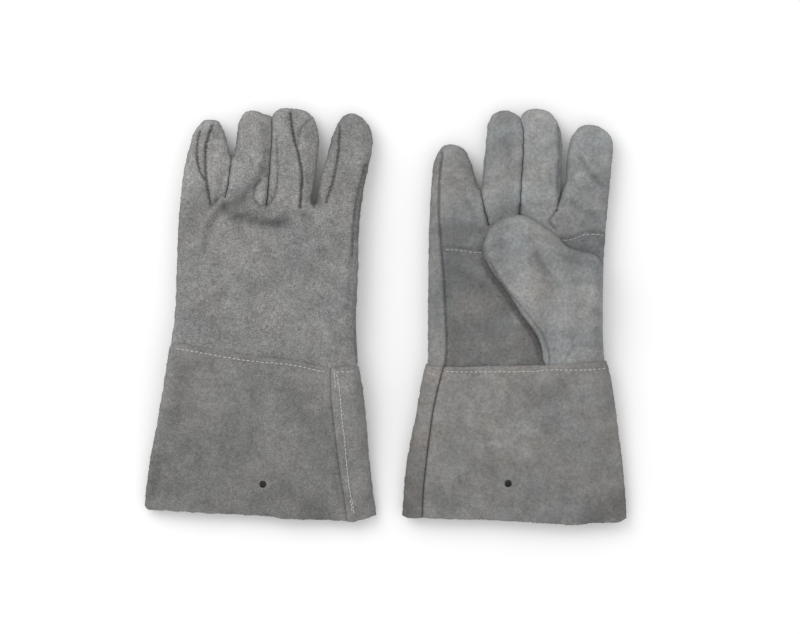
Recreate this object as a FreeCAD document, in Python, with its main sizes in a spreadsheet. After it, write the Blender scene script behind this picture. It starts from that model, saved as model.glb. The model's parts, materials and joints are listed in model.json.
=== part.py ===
"""A pair of split-leather welding gauntlets, laid flat side by side.

Millimetres. +X runs across the pair, +Y to the fingertips, +Z up; z = 0 is the surface they lie on.
The left glove lies palm down with its thumb folded under the palm. The right glove lies palm up with
its thumb folded over the palm. In plan both have the little finger at -X and the thumb at +X.
"""
import FreeCAD, Part
import os

import Sketcher

SIZES = {
    # leather, thread and the room between pieces
    "leather": 1.4,
    "seam_gap": 0.1,
    "body_gap": 0.4,
    "slip_gap": 0.3,
    "stitch_length": 2.5,
    "stitch_width": 0.7,
    "stitch_height": 0.7,
    "stitch_proud": 0.2,
    "stitch_pitch": 4,
    "stitch_inset": 4.5,
    # hand and finger stalls
    "stall_height": 17,
    "knuckle_gap": 8.5,
    "gusset_width": 6,
    "tip_round": 12,
    "edge_round": 5,
    "hand_wrap_little": 8.5,
    "hand_wrap_thumb": 6,
    "hand_overlap": 9,
    "lining_cloth": 1,
    "lining_inset": 2,
    "little_row_in": 14,
    "little_row_down": 28,
    "little_row_long": 34,
    "index_row_in": 42,
    "index_row_down": 16.5,
    "index_row_long": 36,
    # thumb stall, measured from its fold at the edge of the hand
    "thumb_height": 12,
    "thumb_round": 4,
    "thumb_tip_round": 16,
    "thumb_base_low": 4,
    "thumb_base_high": 86,
    "thumb_shoulder_in": 33,
    "thumb_shoulder_up": 99,
    "thumb_tip_up": 122.5,
    "thumb_tip_right": 66,
    "thumb_tip_left": 88,
    "thumb_reach": 103,
    "thumb_side_up": 96,
    "thumb_heel_in": 52,
    # cuff; it slopes down from the wrist, so it starts clear of the end of the hand inside it
    "cuff_gap": 1.6,
    "cuff_wrist_width": 156,
    "cuff_mouth_half": 5,
    "cuff_wrap_little": 17,
    "cuff_lap": 26,
    "cuff_lap_hidden": 9,
    "hang_hole_radius": 3,
    # left glove: palm down
    "left_x": -103.5,
    "left_wrist_y": -34,
    "left_hand_width": 150,
    "left_hand_length": 124.5,
    "left_hand_lean": 2,
    "left_cuff_length": 137,
    "left_mouth_width": 194,
    "left_mouth_shift": -3,
    "left_thumb_fold": 80.2,
    "left_droop": 8.4,
    "left_hole_shift": -2,
    "left_hole_up": 29,
    # right glove: palm up
    "right_x": 110.3,
    "right_wrist_y": -40.5,
    "right_hand_width": 147,
    "right_hand_length": 125,
    "right_hand_lean": 0.9,
    "right_cuff_length": 136.2,
    "right_mouth_width": 190,
    "right_mouth_shift": -1.5,
    "right_thumb_fold": 75.5,
    "right_droop": 2,
    "right_hole_shift": -6.5,
    "right_hole_up": 35,
}

# Each finger: knuckle place x and y, lean towards the thumb in degrees, reach from knuckle to tip,
# width at the root and width at the tip.
FINGERS = {
    "left_little": (-153.6, 96.8, 4.9, 69.5, 38.5, 29),
    "left_ring": (-115.7, 96.8, 4.5, 78, 32.5, 28),
    "left_middle": (-80.2, 96.8, 3.8, 80, 37, 35),
    "left_index": (-38.6, 96.8, 9, 76.7, 37.5, 33),
    "right_little": (60.3, 87.5, -3.3, 58.4, 40, 30),
    "right_ring": (96.8, 93.4, 4.5, 81, 32.5, 28),
    "right_middle": (131.4, 93.4, 1.2, 82.8, 34, 31),
    "right_index": (167.5, 88.3, 6.5, 74.6, 36, 33),
}
FINGER_CELLS = ("x", "y", "lean", "reach", "base", "tip")
NAMES = ("little", "ring", "middle", "index")
PALM_UP = {"left": -1, "right": 1}

document = FreeCAD.newDocument("WeldingGloves")
sheet = document.addObject("Spreadsheet::Sheet", "Sheet")


def fill_sheet():
    """Write every driving size into the sheet under its own alias."""
    cells = dict(SIZES)
    for finger, numbers in FINGERS.items():
        cells.update({f"{finger}_{cell}": n for cell, n in zip(FINGER_CELLS, numbers)})
    for row, (alias, number) in enumerate(cells.items(), start=1):
        sheet.set(f"A{row}", str(number))
        sheet.setAlias(f"A{row}", alias)
    document.recompute()


def value(text):
    """The number that an expression in sheet cells comes to."""
    return float(sheet.evalExpression(text))


def cell(alias):
    return f"Sheet.{alias}"


fill_sheet()

HALF = "Sheet.stall_height / 2"
CUFF_LEVEL = "(Sheet.stall_height / 2 + Sheet.cuff_gap + Sheet.leather)"
MOUTH_LEVEL = "(Sheet.cuff_mouth_half + Sheet.leather)"
LAP_RISE = "(Sheet.leather + Sheet.seam_gap)"


# Small helpers for bodies, sketches and picking faces and edges

def new_body(name):
    body = document.addObject("PartDesign::Body", name)
    body.Label = name
    return body


def origin_part(body, role):
    return next(item for item in body.Origin.OriginFeatures if item.Role == role)


def polygon(body, name, corners, role="XY_Plane", offset="0"):
    """A closed outline on one of the body's origin planes; each corner is two expressions."""
    sketch = body.newObject("Sketcher::SketchObject", name)
    sketch.AttachmentSupport = [(origin_part(body, role), "")]
    sketch.MapMode = "FlatFace"
    sketch.setExpression("AttachmentOffset.Base.z", offset)
    places = [FreeCAD.Vector(value(across), value(along), 0) for across, along in corners]
    count = len(corners)
    for i in range(count):
        sketch.addGeometry(Part.LineSegment(places[i], places[(i + 1) % count]))
    for i in range(count):
        sketch.addConstraint(Sketcher.Constraint("Coincident", i, 2, (i + 1) % count, 1))
        numbers = (places[i].x, places[i].y)
        for kind, text, number in zip(("DistanceX", "DistanceY"), corners[i], numbers):
            index = sketch.addConstraint(Sketcher.Constraint(kind, -1, 1, i, 1, number))
            sketch.setExpression(f"Constraints[{index}]", text)
    return sketch


def pad(body, name, sketch, length, reverse=False, both=False):
    feature = body.newObject("PartDesign::Pad", name)
    feature.Profile = sketch
    feature.setExpression("Length", length)
    feature.Reversed = reverse
    feature.Midplane = both
    document.recompute()
    return feature


def edges(feature, test):
    shapes = feature.Shape.Edges
    return [f"Edge{i}" for i, edge in enumerate(shapes, start=1) if test(edge)]


def faces(feature, test):
    shapes = feature.Shape.Faces
    return [f"Face{i}" for i, face in enumerate(shapes, start=1) if test(face)]


def fillet(body, name, base, picked, radius):
    feature = body.newObject("PartDesign::Fillet", name)
    feature.Base = (base, picked)
    feature.setExpression("Radius", radius)
    document.recompute()
    return feature


def hollow(body, name, base, open_faces, wall):
    """Shell the solid inwards to one wall thickness, leaving the picked faces open."""
    feature = body.newObject("PartDesign::Thickness", name)
    feature.Base = (base, open_faces)
    feature.setExpression("Value", wall)
    feature.Reversed = True
    document.recompute()
    return feature


def near(a, b):
    return abs(a - b) < 1e-3


def at_corner(edge, x, y):
    """True for an upright edge that stands over the plan point x, y."""
    box = edge.BoundBox
    upright = box.XLength < 1e-3 and box.YLength < 1e-3
    return upright and near(box.XMin, x) and near(box.YMin, y)


# Finger stalls, each in its own frame: the knuckle at the origin, the finger along +Y

def stall_tray(name, outline, round_corners, corner_radius, side, levels, edge_radius, open_root):
    """One half of a stall: a shallow leather tray, open at the seam and at the root.

    levels is the seam's and the outer face's distance from the middle of the stall, and side is 1
    for the upper half and -1 for the lower half.
    """
    seam, outer = levels
    body = new_body(name)
    sketch = polygon(body, name + "_outline", outline, offset=f"{side} * {seam}")
    block = pad(body, name + "_pad", sketch, f"{outer} - {seam}", reverse=side < 0)
    places = [(value(x), value(y)) for x, y in (outline[i] for i in round_corners)]
    corners = edges(block, lambda e: any(at_corner(e, x, y) for x, y in places))
    rounded = fillet(body, name + "_corners", block, corners, corner_radius)
    outer_z = side * value(outer)
    rims = edges(
        rounded,
        lambda e: near(e.BoundBox.ZMin, outer_z) and e.BoundBox.ZLength < 1e-3 and not open_root(e),
    )
    softened = fillet(body, name + "_rim", rounded, rims, edge_radius)
    seam_z = side * value(seam)
    mouth = faces(
        softened,
        lambda f: open_root(f) or (near(f.BoundBox.ZMin, seam_z) and f.BoundBox.ZLength < 1e-3),
    )
    hollow(body, name + "_shell", softened, mouth, cell("leather"))
    return body


def finger_outline(finger):
    base, tip, reach = (cell(f"{finger}_{word}") for word in ("base", "tip", "reach"))
    root = cell("knuckle_gap")
    return [(f"-{base} / 2", root), (f"-{tip} / 2", reach), (f"{tip} / 2", reach), (f"{base} / 2", root)]


def cut_side(body, name, finger, side):
    """Cut away the seam-high wall on one side of a finger, to the middle of its tip."""
    base, reach = cell(f"{finger}_base"), cell(f"{finger}_reach")
    inner, outer = f"-{side} * Sheet.seam_gap / 2", f"{side} * {base}"
    past_tip = f"{reach} + {cell('leather')}"
    corners = [(inner, "0"), (inner, past_tip), (outer, past_tip), (outer, "0")]
    sketch = polygon(body, name + "_cut_outline", corners)
    before = body.Shape.Volume
    cut = body.newObject("PartDesign::Pocket", name + "_cut")
    cut.Profile = sketch
    cut.setExpression("Length", cell("gusset_width"))
    cut.Midplane = True
    document.recompute()
    if body.Shape.Volume > before - 1:
        raise RuntimeError(f"{name} cut nothing")


def make_gusset(finger, side, word, at_root):
    """The side strip between the back and the front, from the root to the middle of the tip."""
    name = f"{finger}_gusset_{word}"
    body = new_body(name)
    sketch = polygon(body, name + "_outline", finger_outline(finger))
    block = pad(body, name + "_pad", sketch, cell("gusset_width"), both=True)
    places = [(value(x), value(y)) for x, y in finger_outline(finger)[1:3]]
    corners = edges(block, lambda e: any(at_corner(e, x, y) for x, y in places))
    rounded = fillet(body, name + "_corners", block, corners, cell("tip_round"))
    open_faces = faces(rounded, lambda f: at_root(f) or f.BoundBox.ZLength < 1e-3)
    hollow(body, name + "_wall", rounded, open_faces, cell("leather"))
    cut_side(body, name, finger, -side)
    return body


def finger_placement(side, finger):
    """The knuckle's place, the finger's lean in plan and its droop towards the surface."""
    x, y, lean = (value(cell(f"{finger}_{word}")) for word in ("x", "y", "lean"))
    turn = FreeCAD.Rotation(FreeCAD.Vector(0, 0, 1), -lean)
    droop = FreeCAD.Rotation(FreeCAD.Vector(1, 0, 0), -value(cell(f"{side}_droop")))
    return FreeCAD.Placement(FreeCAD.Vector(x, y, hand_middle(side)), turn * droop)


def make_finger(side, name):
    """Back, front and side strips of one finger stall.

    The back leather wraps round the outer side of the little finger and the front leather round the
    outer side of the index finger; every other side is closed by a gusset strip.
    """
    finger = f"{side}_{name}"
    palm = PALM_UP[side]
    root_y = value(cell("knuckle_gap"))
    seam = "Sheet.gusset_width / 2"
    wrapped_side = {("little", "back"): -1, ("index", "front"): 1}

    def at_root(shape):
        return near(shape.BoundBox.YMax, root_y)

    pieces = []
    for word, half in (("back", -palm), ("front", palm)):
        wrap = wrapped_side.get((name, word))
        levels = (f"-{seam}" if wrap else seam, HALF)
        piece = stall_tray(
            f"{finger}_{word}",
            finger_outline(finger),
            (1, 2),
            cell("tip_round"),
            half,
            levels,
            cell("edge_round"),
            at_root,
        )
        if wrap:
            cut_side(piece, piece.Label, finger, -wrap)
        pieces.append(piece)
    for edge, word in ((-1, "little_side"), (1, "thumb_side")):
        if edge not in (wrapped_side.get((name, half)) for half in ("back", "front")):
            pieces.append(make_gusset(finger, edge, word, at_root))
    placement = finger_placement(side, finger)
    for piece in pieces:
        piece.Placement = placement
    return pieces


# Thumb stall: a tapered paddle whose root lies along the edge of the hand

def make_thumb(side):
    """The outer half, away from the palm, and the inner half, next to it."""
    outline = [
        ("-Sheet.body_gap", cell("thumb_base_low")),
        ("-Sheet.body_gap", cell("thumb_base_high")),
        ("-Sheet.thumb_shoulder_in", cell("thumb_shoulder_up")),
        ("-Sheet.thumb_tip_right", cell("thumb_tip_up")),
        ("-Sheet.thumb_tip_left", cell("thumb_tip_up")),
        ("-Sheet.thumb_reach", cell("thumb_side_up")),
        ("-Sheet.thumb_heel_in", cell("thumb_base_low")),
    ]
    palm = PALM_UP[side]
    root_x = -value(cell("body_gap"))
    levels = ("Sheet.seam_gap / 2", "Sheet.thumb_height / 2")

    def at_root(shape):
        return near(shape.BoundBox.XMin, root_x)

    level = value(f"{HALF} + Sheet.body_gap + Sheet.thumb_height / 2")
    place = FreeCAD.Vector(
        value(f"Sheet.{side}_x + Sheet.{side}_thumb_fold"),
        value(cell(f"{side}_wrist_y")),
        hand_middle(side) + palm * level,
    )
    pieces = []
    for word, half in (("outer", palm), ("inner", -palm)):
        tray = stall_tray(
            f"{side}_thumb_{word}",
            outline,
            (3, 4, 5),
            cell("thumb_tip_round"),
            half,
            levels,
            cell("thumb_round"),
            at_root,
        )
        tray.Placement = FreeCAD.Placement(place, FreeCAD.Rotation())
        pieces.append(tray)
    return pieces


# Hand and cuff panels: a flat plate that turns round one edge of the glove and back over the other face

def hand_middle(side):
    """Height of the middle of the hand above the surface."""
    if side == "right":
        return value(f"{CUFF_LEVEL} + {LAP_RISE} + Sheet.stitch_proud")
    return value(f"Sheet.thumb_height + Sheet.body_gap + {HALF}")


def mouth_drop(side):
    """How far the middle of the cuff mouth lies below the middle of the hand."""
    rest = f"{MOUTH_LEVEL} + {LAP_RISE} + Sheet.stitch_proud" if side == "right" else MOUTH_LEVEL
    return f"({value(rest) - hand_middle(side):.4f})"


def panel_profile(palm, plate, wrap, edge, centre, drop, half_width, seam, flap):
    """Corners of a panel's section across the glove.

    plate and wrap are (face, level): face is 1 on the palm side and -1 on the back, and level is the
    outer surface's distance from the middle. edge is the side of the glove that it turns round, seam
    the plate's far end and flap the wrap's far end, both measured from the centre.
    """
    wall = cell("leather")

    def point(x, face, level):
        return (f"{centre} + {x}", f"{drop} + {palm * face} * ({level})")

    (face_a, level_a), (face_b, level_b) = plate, wrap
    outside, inside = f"{edge} * {half_width}", f"{edge} * ({half_width} - {wall})"
    return [
        point(seam, face_a, level_a),
        point(outside, face_a, level_a),
        point(outside, face_b, level_b),
        point(flap, face_b, level_b),
        point(flap, face_b, f"{level_b} - {wall}"),
        point(inside, face_b, f"{level_b} - {wall}"),
        point(inside, face_a, f"{level_a} - {wall}"),
        point(seam, face_a, f"{level_a} - {wall}"),
    ]


def loft_panel(name, sections):
    """Loft two profiles, each given with its place along the glove, and round the turned edge."""
    body = new_body(name)
    sketches = []
    for i, (along, profile) in enumerate(sections):
        sketches.append(polygon(body, f"{name}_section_{i}", profile, "XZ_Plane", f"-({along})"))
    loft = body.newObject("PartDesign::AdditiveLoft", name + "_loft")
    loft.Profile = sketches[0]
    loft.Sections = [sketches[1]]
    loft.Ruled = True
    document.recompute()
    round_turn(body, name, loft, sections[0][1], value(sections[0][0]))
    return body


def round_turn(body, name, panel, profile, along):
    """Round a panel where it turns round the edge of the glove; its section starts at along."""

    def starts_at(edge, number):
        corner = FreeCAD.Vector(value(profile[number][0]), along, value(profile[number][1]))
        ends = [vertex.Point for vertex in edge.Vertexes]
        long = edge.BoundBox.YLength > 1
        return long and any(end.distanceToPoint(corner) < 1e-3 for end in ends)

    inner = edges(panel, lambda e: any(starts_at(e, number) for number in (5, 6)))
    filled = fillet(body, name + "_inner", panel, inner, "Sheet.edge_round - Sheet.leather")
    outer = edges(filled, lambda e: any(starts_at(e, number) for number in (1, 2)))
    fillet(body, name + "_outer", filled, outer, cell("edge_round"))


def glove_placement(side):
    """The middle of the wrist, where the cuff's upper edge lies."""
    place = FreeCAD.Vector(value(cell(f"{side}_x")), value(cell(f"{side}_wrist_y")), hand_middle(side))
    return FreeCAD.Placement(place, FreeCAD.Rotation())


def hand_placement(side):
    """The hand leans a little towards the thumb from the middle of the wrist."""
    lean = FreeCAD.Rotation(FreeCAD.Vector(0, 0, 1), -value(cell(f"{side}_hand_lean")))
    return FreeCAD.Placement(glove_placement(side).Base, lean)


def make_hand(side):
    """The back wraps round the little-finger edge and the palm round the thumb edge."""
    palm = PALM_UP[side]
    half_width = f"{cell(side + '_hand_width')} / 2"
    bodies = []
    for word, face, edge, own, other in (
        ("back", -1, -1, "hand_wrap_little", "hand_wrap_thumb"),
        ("palm", 1, 1, "hand_wrap_thumb", "hand_wrap_little"),
    ):
        name = f"{side}_hand_{word}"
        body = new_body(name)
        flap = f"{edge} * ({half_width} - {cell(own)})"
        seam = f"{-edge} * ({half_width} - {cell(other)} - Sheet.seam_gap)"
        profile = panel_profile(palm, (face, HALF), (-face, HALF), edge, "0", "0", half_width, seam, flap)
        sketch = polygon(body, name + "_section", profile, "XZ_Plane", "Sheet.hand_overlap")
        length = f"{cell(side + '_hand_length')} + Sheet.hand_overlap"
        panel = pad(body, name + "_pad", sketch, length, reverse=True)
        round_turn(body, name, panel, profile, -value(cell("hand_overlap")))
        bodies.append(body)
    cut_thumb_window(bodies[1], side)
    for body in bodies:
        body.Placement = hand_placement(side)
    return bodies


def cut_thumb_window(body, side):
    """Open the palm leather where the thumb stall joins the edge of the hand."""
    low, high = cell("thumb_base_low"), f"Sheet.thumb_base_high - Sheet.thumb_base_low"
    half = "(Sheet.stall_height / 2 - Sheet.edge_round + Sheet.leather)"
    corners = [(low, f"-{half}"), (high, f"-{half}"), (high, half), (low, half)]
    sketch = polygon(body, f"{side}_thumb_window", corners, "YZ_Plane")
    before = body.Shape.Volume
    window = body.newObject("PartDesign::Pocket", f"{side}_thumb_window_cut")
    window.Profile = sketch
    window.setExpression("Length", cell(f"{side}_hand_width"))
    window.Reversed = True
    document.recompute()
    if body.Shape.Volume > before - 100:
        raise RuntimeError(f"{side} thumb window cut nothing")


def make_lining(side):
    """The cotton sleeve inside the hand, open at the wrist and at the knuckles."""
    half_width = f"({cell(side + '_hand_width')} / 2 - Sheet.leather - Sheet.slip_gap)"
    half_height = f"({HALF} - Sheet.leather - Sheet.slip_gap)"
    name = f"{side}_hand_lining"
    body = new_body(name)
    corners = [
        (f"{x} * {half_width}", f"{z} * {half_height}") for x, z in ((-1, -1), (1, -1), (1, 1), (-1, 1))
    ]
    sketch = polygon(body, name + "_section", corners, "XZ_Plane", "Sheet.hand_overlap - Sheet.lining_inset")
    length = f"{cell(side + '_hand_length')} + Sheet.hand_overlap - 2 * Sheet.lining_inset"
    block = pad(body, name + "_pad", sketch, length, reverse=True)
    long_edges = edges(block, lambda e: e.BoundBox.YLength > 1)
    softened = fillet(body, name + "_round", block, long_edges, "Sheet.edge_round - Sheet.leather")
    open_ends = faces(softened, lambda f: f.BoundBox.YLength < 1e-3)
    hollow(body, name + "_shell", softened, open_ends, cell("lining_cloth"))
    body.Placement = hand_placement(side)
    return [body]


def make_cuff(side):
    """Two panels, sewn flush at the little-finger side and lapped at the thumb side.

    The palm panel turns round the thumb edge and lies over the back panel there.
    """
    palm = PALM_UP[side]
    bodies = []
    stations = (
        ("0", "0", "0", "Sheet.cuff_wrist_width / 2", CUFF_LEVEL),
        (
            f"-{cell(side + '_cuff_length')}",
            cell(f"{side}_mouth_shift"),
            mouth_drop(side),
            f"{cell(side + '_mouth_width')} / 2",
            MOUTH_LEVEL,
        ),
    )
    back_sections, palm_sections = [], []
    for along, centre, drop, half_width, level in stations:
        seam = f"-({half_width} - Sheet.cuff_wrap_little - Sheet.seam_gap)"
        flap = f"({half_width} - Sheet.cuff_lap)"
        palm_profile = panel_profile(
            palm, (1, level), (-1, f"{level} + {LAP_RISE}"), 1, centre, drop, half_width, seam, flap
        )
        flap = f"-({half_width} - Sheet.cuff_wrap_little)"
        seam = f"({half_width} - Sheet.cuff_lap_hidden)"
        back_profile = panel_profile(
            palm, (-1, level), (1, level), -1, centre, drop, half_width, seam, flap
        )
        palm_sections.append((along, palm_profile))
        back_sections.append((along, back_profile))
    for word, sections in (("back", back_sections), ("palm", palm_sections)):
        body = loft_panel(f"{side}_cuff_{word}", sections)
        punch_hole(body, f"{side}_{word}", side)
        body.Placement = glove_placement(side)
        bodies.append(body)
    return bodies


def punch_hole(body, name, side):
    """The round hanging hole near the cuff mouth, punched straight through."""
    sketch = body.newObject("Sketcher::SketchObject", name + "_hole_outline")
    sketch.AttachmentSupport = [(origin_part(body, "XY_Plane"), "")]
    sketch.MapMode = "FlatFace"
    across = cell(f"{side}_hole_shift")
    along = f"{cell(side + '_hole_up')} - {cell(side + '_cuff_length')}"
    radius = cell("hang_hole_radius")
    centre = FreeCAD.Vector(value(across), value(along), 0)
    sketch.addGeometry(Part.Circle(centre, FreeCAD.Vector(0, 0, 1), value(radius)))
    for constraint, text in (
        (Sketcher.Constraint("DistanceX", -1, 1, 0, 3, centre.x), across),
        (Sketcher.Constraint("DistanceY", -1, 1, 0, 3, centre.y), along),
        (Sketcher.Constraint("Radius", 0, value(radius)), radius),
    ):
        index = sketch.addConstraint(constraint)
        sketch.setExpression(f"Constraints[{index}]", text)
    before = body.Shape.Volume
    hole = body.newObject("PartDesign::Pocket", name + "_hole")
    hole.Profile = sketch
    hole.Type = "ThroughAll"
    hole.Midplane = True
    document.recompute()
    if body.Shape.Volume > before - 1:
        raise RuntimeError(f"{name} hole cut nothing")


# Thread: rows of short stitches sunk into the leather, one node for each seam

def stitch_row(body, name, start, surface, face, length):
    """A row of stitches along +X from start, proud of the surface at that height; face is its side."""
    x, y = start
    right, top = f"{x} + Sheet.stitch_length", f"{y} + Sheet.stitch_width"
    corners = [(x, y), (right, y), (right, top), (x, top)]
    proud = f"{surface} + {face} * Sheet.stitch_proud"
    sketch = polygon(body, name + "_outline", corners, offset=proud)
    stitch = pad(body, name + "_pad", sketch, cell("stitch_height"), reverse=face > 0)
    count = int(value(f"({length}) / Sheet.stitch_pitch"))
    row = body.newObject("PartDesign::LinearPattern", name + "_row")
    row.Originals = [stitch]
    row.Direction = (origin_part(body, "X_Axis"), [""])
    row.Occurrences = count
    row.setExpression("Length", f"Sheet.stitch_pitch * {count - 1}")
    body.Tip = row
    document.recompute()


def cuff_surface(side, face, down):
    """Height of a cuff panel's outer face above the middle of the hand, down from the wrist."""
    sign = PALM_UP[side] * face
    fall = f"({mouth_drop(side)} + {sign} * ({MOUTH_LEVEL} - {CUFF_LEVEL}))"
    return f"{sign} * {CUFF_LEVEL} + {fall} * {down} / {cell(side + '_cuff_length')}"


def make_cuff_join_stitches(side):
    """The row that sews the cuff over the end of the hand, on both faces."""
    body = new_body(f"{side}_cuff_join_stitches")
    body.AllowCompound = True
    start = ("Sheet.edge_round + Sheet.stitch_pitch - Sheet.cuff_wrist_width / 2", "-Sheet.stitch_inset")
    width = "Sheet.cuff_wrist_width - Sheet.edge_round - Sheet.cuff_lap - 2 * Sheet.stitch_pitch"
    for word, face in (("back", -1), ("palm", 1)):
        surface = cuff_surface(side, face, cell("stitch_inset"))
        stitch_row(body, f"{side}_join_{word}", start, surface, PALM_UP[side] * face, width)
    body.Placement = glove_placement(side)
    return [body]


def make_lap_stitches(side):
    """The row down the lapped seam of the cuff, beside the edge of the palm panel's lap."""
    palm = PALM_UP[side]
    body = new_body(f"{side}_cuff_lap_stitches")
    body.AllowCompound = True
    length = f"{cell(side + '_cuff_length')} - 2 * Sheet.stitch_pitch"
    stitch_row(body, f"{side}_lap", (cell("stitch_pitch"), "0"), "0", 1, length)
    inset = value("Sheet.cuff_lap - Sheet.stitch_inset")
    wrist = FreeCAD.Vector(
        value("Sheet.cuff_wrist_width / 2") - inset,
        0,
        -palm * value(f"{CUFF_LEVEL} + {LAP_RISE}"),
    )
    mouth = FreeCAD.Vector(
        value(f"{cell(side + '_mouth_shift')} + {cell(side + '_mouth_width')} / 2") - inset,
        -value(cell(f"{side}_cuff_length")),
        value(mouth_drop(side)) - palm * value(f"{MOUTH_LEVEL} + {LAP_RISE}"),
    )
    outward = FreeCAD.Vector(0, 0, -palm)
    turn = FreeCAD.Rotation(mouth - wrist, FreeCAD.Vector(), outward, "XZY")
    body.Placement = FreeCAD.Placement(glove_placement(side).Base + wrist, turn)
    return [body]


def make_finger_base_stitches(side):
    """The short rows across the palm that join the little and index finger fronts to it."""
    palm = PALM_UP[side]
    body = new_body(f"{side}_finger_base_stitches")
    body.AllowCompound = True
    surface, half_width = f"{palm} * {HALF}", f"{cell(side + '_hand_width')} / 2"
    knuckles = cell(f"{side}_hand_length")
    little = (f"Sheet.little_row_in - {half_width}", f"{knuckles} - Sheet.little_row_down")
    index = (f"{half_width} - Sheet.index_row_in", f"{knuckles} - Sheet.index_row_down")
    stitch_row(body, f"{side}_little_base", little, surface, palm, cell("little_row_long"))
    stitch_row(body, f"{side}_index_base", index, surface, palm, cell("index_row_long"))
    body.Placement = hand_placement(side)
    return [body]


def make_glove(side):
    pieces = make_hand(side) + make_lining(side) + make_cuff(side) + make_thumb(side)
    for name in NAMES:
        pieces += make_finger(side, name)
    pieces += make_cuff_join_stitches(side) + make_lap_stitches(side) + make_finger_base_stitches(side)
    return pieces


def write_parts(pieces):
    """Check every object and every shape, then write one STEP file for each piece."""
    document.recompute()
    for item in document.Objects:
        if "Invalid" in item.State or "Error" in item.State:
            raise RuntimeError(f"{item.Name} is {item.State}")
    for piece in pieces:
        if piece.Shape.isNull() or not piece.Shape.isValid():
            raise RuntimeError(f"{piece.Label} has no valid shape")
    os.makedirs("parts", exist_ok=True)
    for piece in pieces:
        piece.Shape.exportStep(f"parts/{piece.Label}.step")
    print(f"{len(pieces)} pieces written")


write_parts(make_glove("left") + make_glove("right"))
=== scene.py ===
import json
import math

import bpy
import numpy as np
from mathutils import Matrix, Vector
from mathutils.geometry import delaunay_2d_cdt
from mathutils.kdtree import KDTree


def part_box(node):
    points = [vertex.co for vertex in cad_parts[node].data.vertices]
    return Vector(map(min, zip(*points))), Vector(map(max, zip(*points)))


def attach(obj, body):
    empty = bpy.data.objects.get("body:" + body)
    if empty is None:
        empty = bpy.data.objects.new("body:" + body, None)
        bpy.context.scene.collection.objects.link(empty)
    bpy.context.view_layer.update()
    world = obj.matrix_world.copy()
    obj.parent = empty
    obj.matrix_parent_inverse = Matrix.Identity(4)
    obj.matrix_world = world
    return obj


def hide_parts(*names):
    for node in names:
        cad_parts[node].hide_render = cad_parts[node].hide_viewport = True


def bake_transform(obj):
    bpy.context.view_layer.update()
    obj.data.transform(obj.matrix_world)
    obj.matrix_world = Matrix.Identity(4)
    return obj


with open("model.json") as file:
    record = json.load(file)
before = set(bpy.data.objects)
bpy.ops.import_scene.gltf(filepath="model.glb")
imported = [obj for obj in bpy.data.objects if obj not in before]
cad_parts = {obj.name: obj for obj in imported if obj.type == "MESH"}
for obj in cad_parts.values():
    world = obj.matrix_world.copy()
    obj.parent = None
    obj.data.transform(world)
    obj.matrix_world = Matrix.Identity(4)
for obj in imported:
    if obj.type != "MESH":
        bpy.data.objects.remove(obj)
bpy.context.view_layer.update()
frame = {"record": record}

MM = 0.001
GRID = 1.2             # spacing of the leather's mesh
LEATHER = 1.4          # thickness of the leather
LAP_RISE = 1.55        # the lapped edge lies this much above the panel under it
OUTER_ROUND = 11.0     # how far in from an outline the leather curves over
SLIT_ROUND = 3.4       # the same beside a slit between two fingers
FLOOR_GAP = 0.3        # between the surface and the lowest leather
LOWEST_SEAM = 8.8      # the side seams come no lower than this
ROUNDED_ROWS = (0.12, 0.5, 1.15)   # where close rows of mesh points lie beside an edge that curves over
CUT_ROWS = (0.4,)                  # and beside a cut edge
LINING_WALL = 0.8
LINING_INSET = 4.0     # the lining's sides inside the hand's outline
LINING_CLEAR = 2.6     # the lining below the upper face and above the lower face
LINING_COLUMNS = 48
OUTLINE_SHADE = 0.22   # painted shade in a narrow band along each outline, where the leather curves away
OUTLINE_BAND = 1.3
THREAD_SIDES = 8
SIDES = ("left", "right")
PALM_UP = {"left": -1, "right": 1}
NAMES = ("little", "ring", "middle", "index")
JOINTS = {joint["name"]: joint for joint in frame["record"]["behaviour"]["joints"]}


def node_box(node):
    """A CAD node's lowest and highest corners, in millimetres."""
    low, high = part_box(node)
    return np.array(low) / MM, np.array(high) / MM


# ---------------------------------------------------------------- lines

def resample(points, step):
    """Points about a step apart along a line, both ends kept."""
    points = np.asarray(points, float)
    lengths = np.r_[0, np.cumsum(np.linalg.norm(np.diff(points, axis=0), axis=1))]
    count = max(2, int(round(lengths[-1] / step)) + 1)
    at = np.linspace(0, lengths[-1], count)
    return np.stack([np.interp(at, lengths, column) for column in points.T], axis=1)


def spline(points, before=None, after=None, step=GRID):
    """A smooth open line through given points; before and after steer its two ends."""
    points = np.asarray(points, float)
    first = 2 * points[0] - points[1] if before is None else np.asarray(before, float)
    last = 2 * points[-1] - points[-2] if after is None else np.asarray(after, float)
    knots = np.vstack([first, points, last])
    t = np.linspace(0, 1, 24, endpoint=False)[:, None]
    pieces = []
    for p0, p1, p2, p3 in zip(knots, knots[1:], knots[2:], knots[3:]):
        a, b, c = (np.linalg.norm(q - p) + 1e-9 for p, q in ((p0, p1), (p1, p2), (p2, p3)))
        leave = (p2 - p0) * b / (a + b)
        arrive = (p3 - p1) * b / (b + c)
        pieces.append(
            (2 * t**3 - 3 * t**2 + 1) * p1
            + (t**3 - 2 * t**2 + t) * leave
            + (3 * t**2 - 2 * t**3) * p2
            + (t**3 - t**2) * arrive
        )
    return resample(np.vstack(pieces + [points[-1:]]), step)


def side_normals(line):
    """A line's sideways directions, one at each of its points."""
    direction = np.gradient(line, axis=0)
    normal = np.stack([-direction[:, 1], direction[:, 0]], axis=1)
    return normal / (np.linalg.norm(normal, axis=1)[:, None] + 1e-9)


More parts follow.
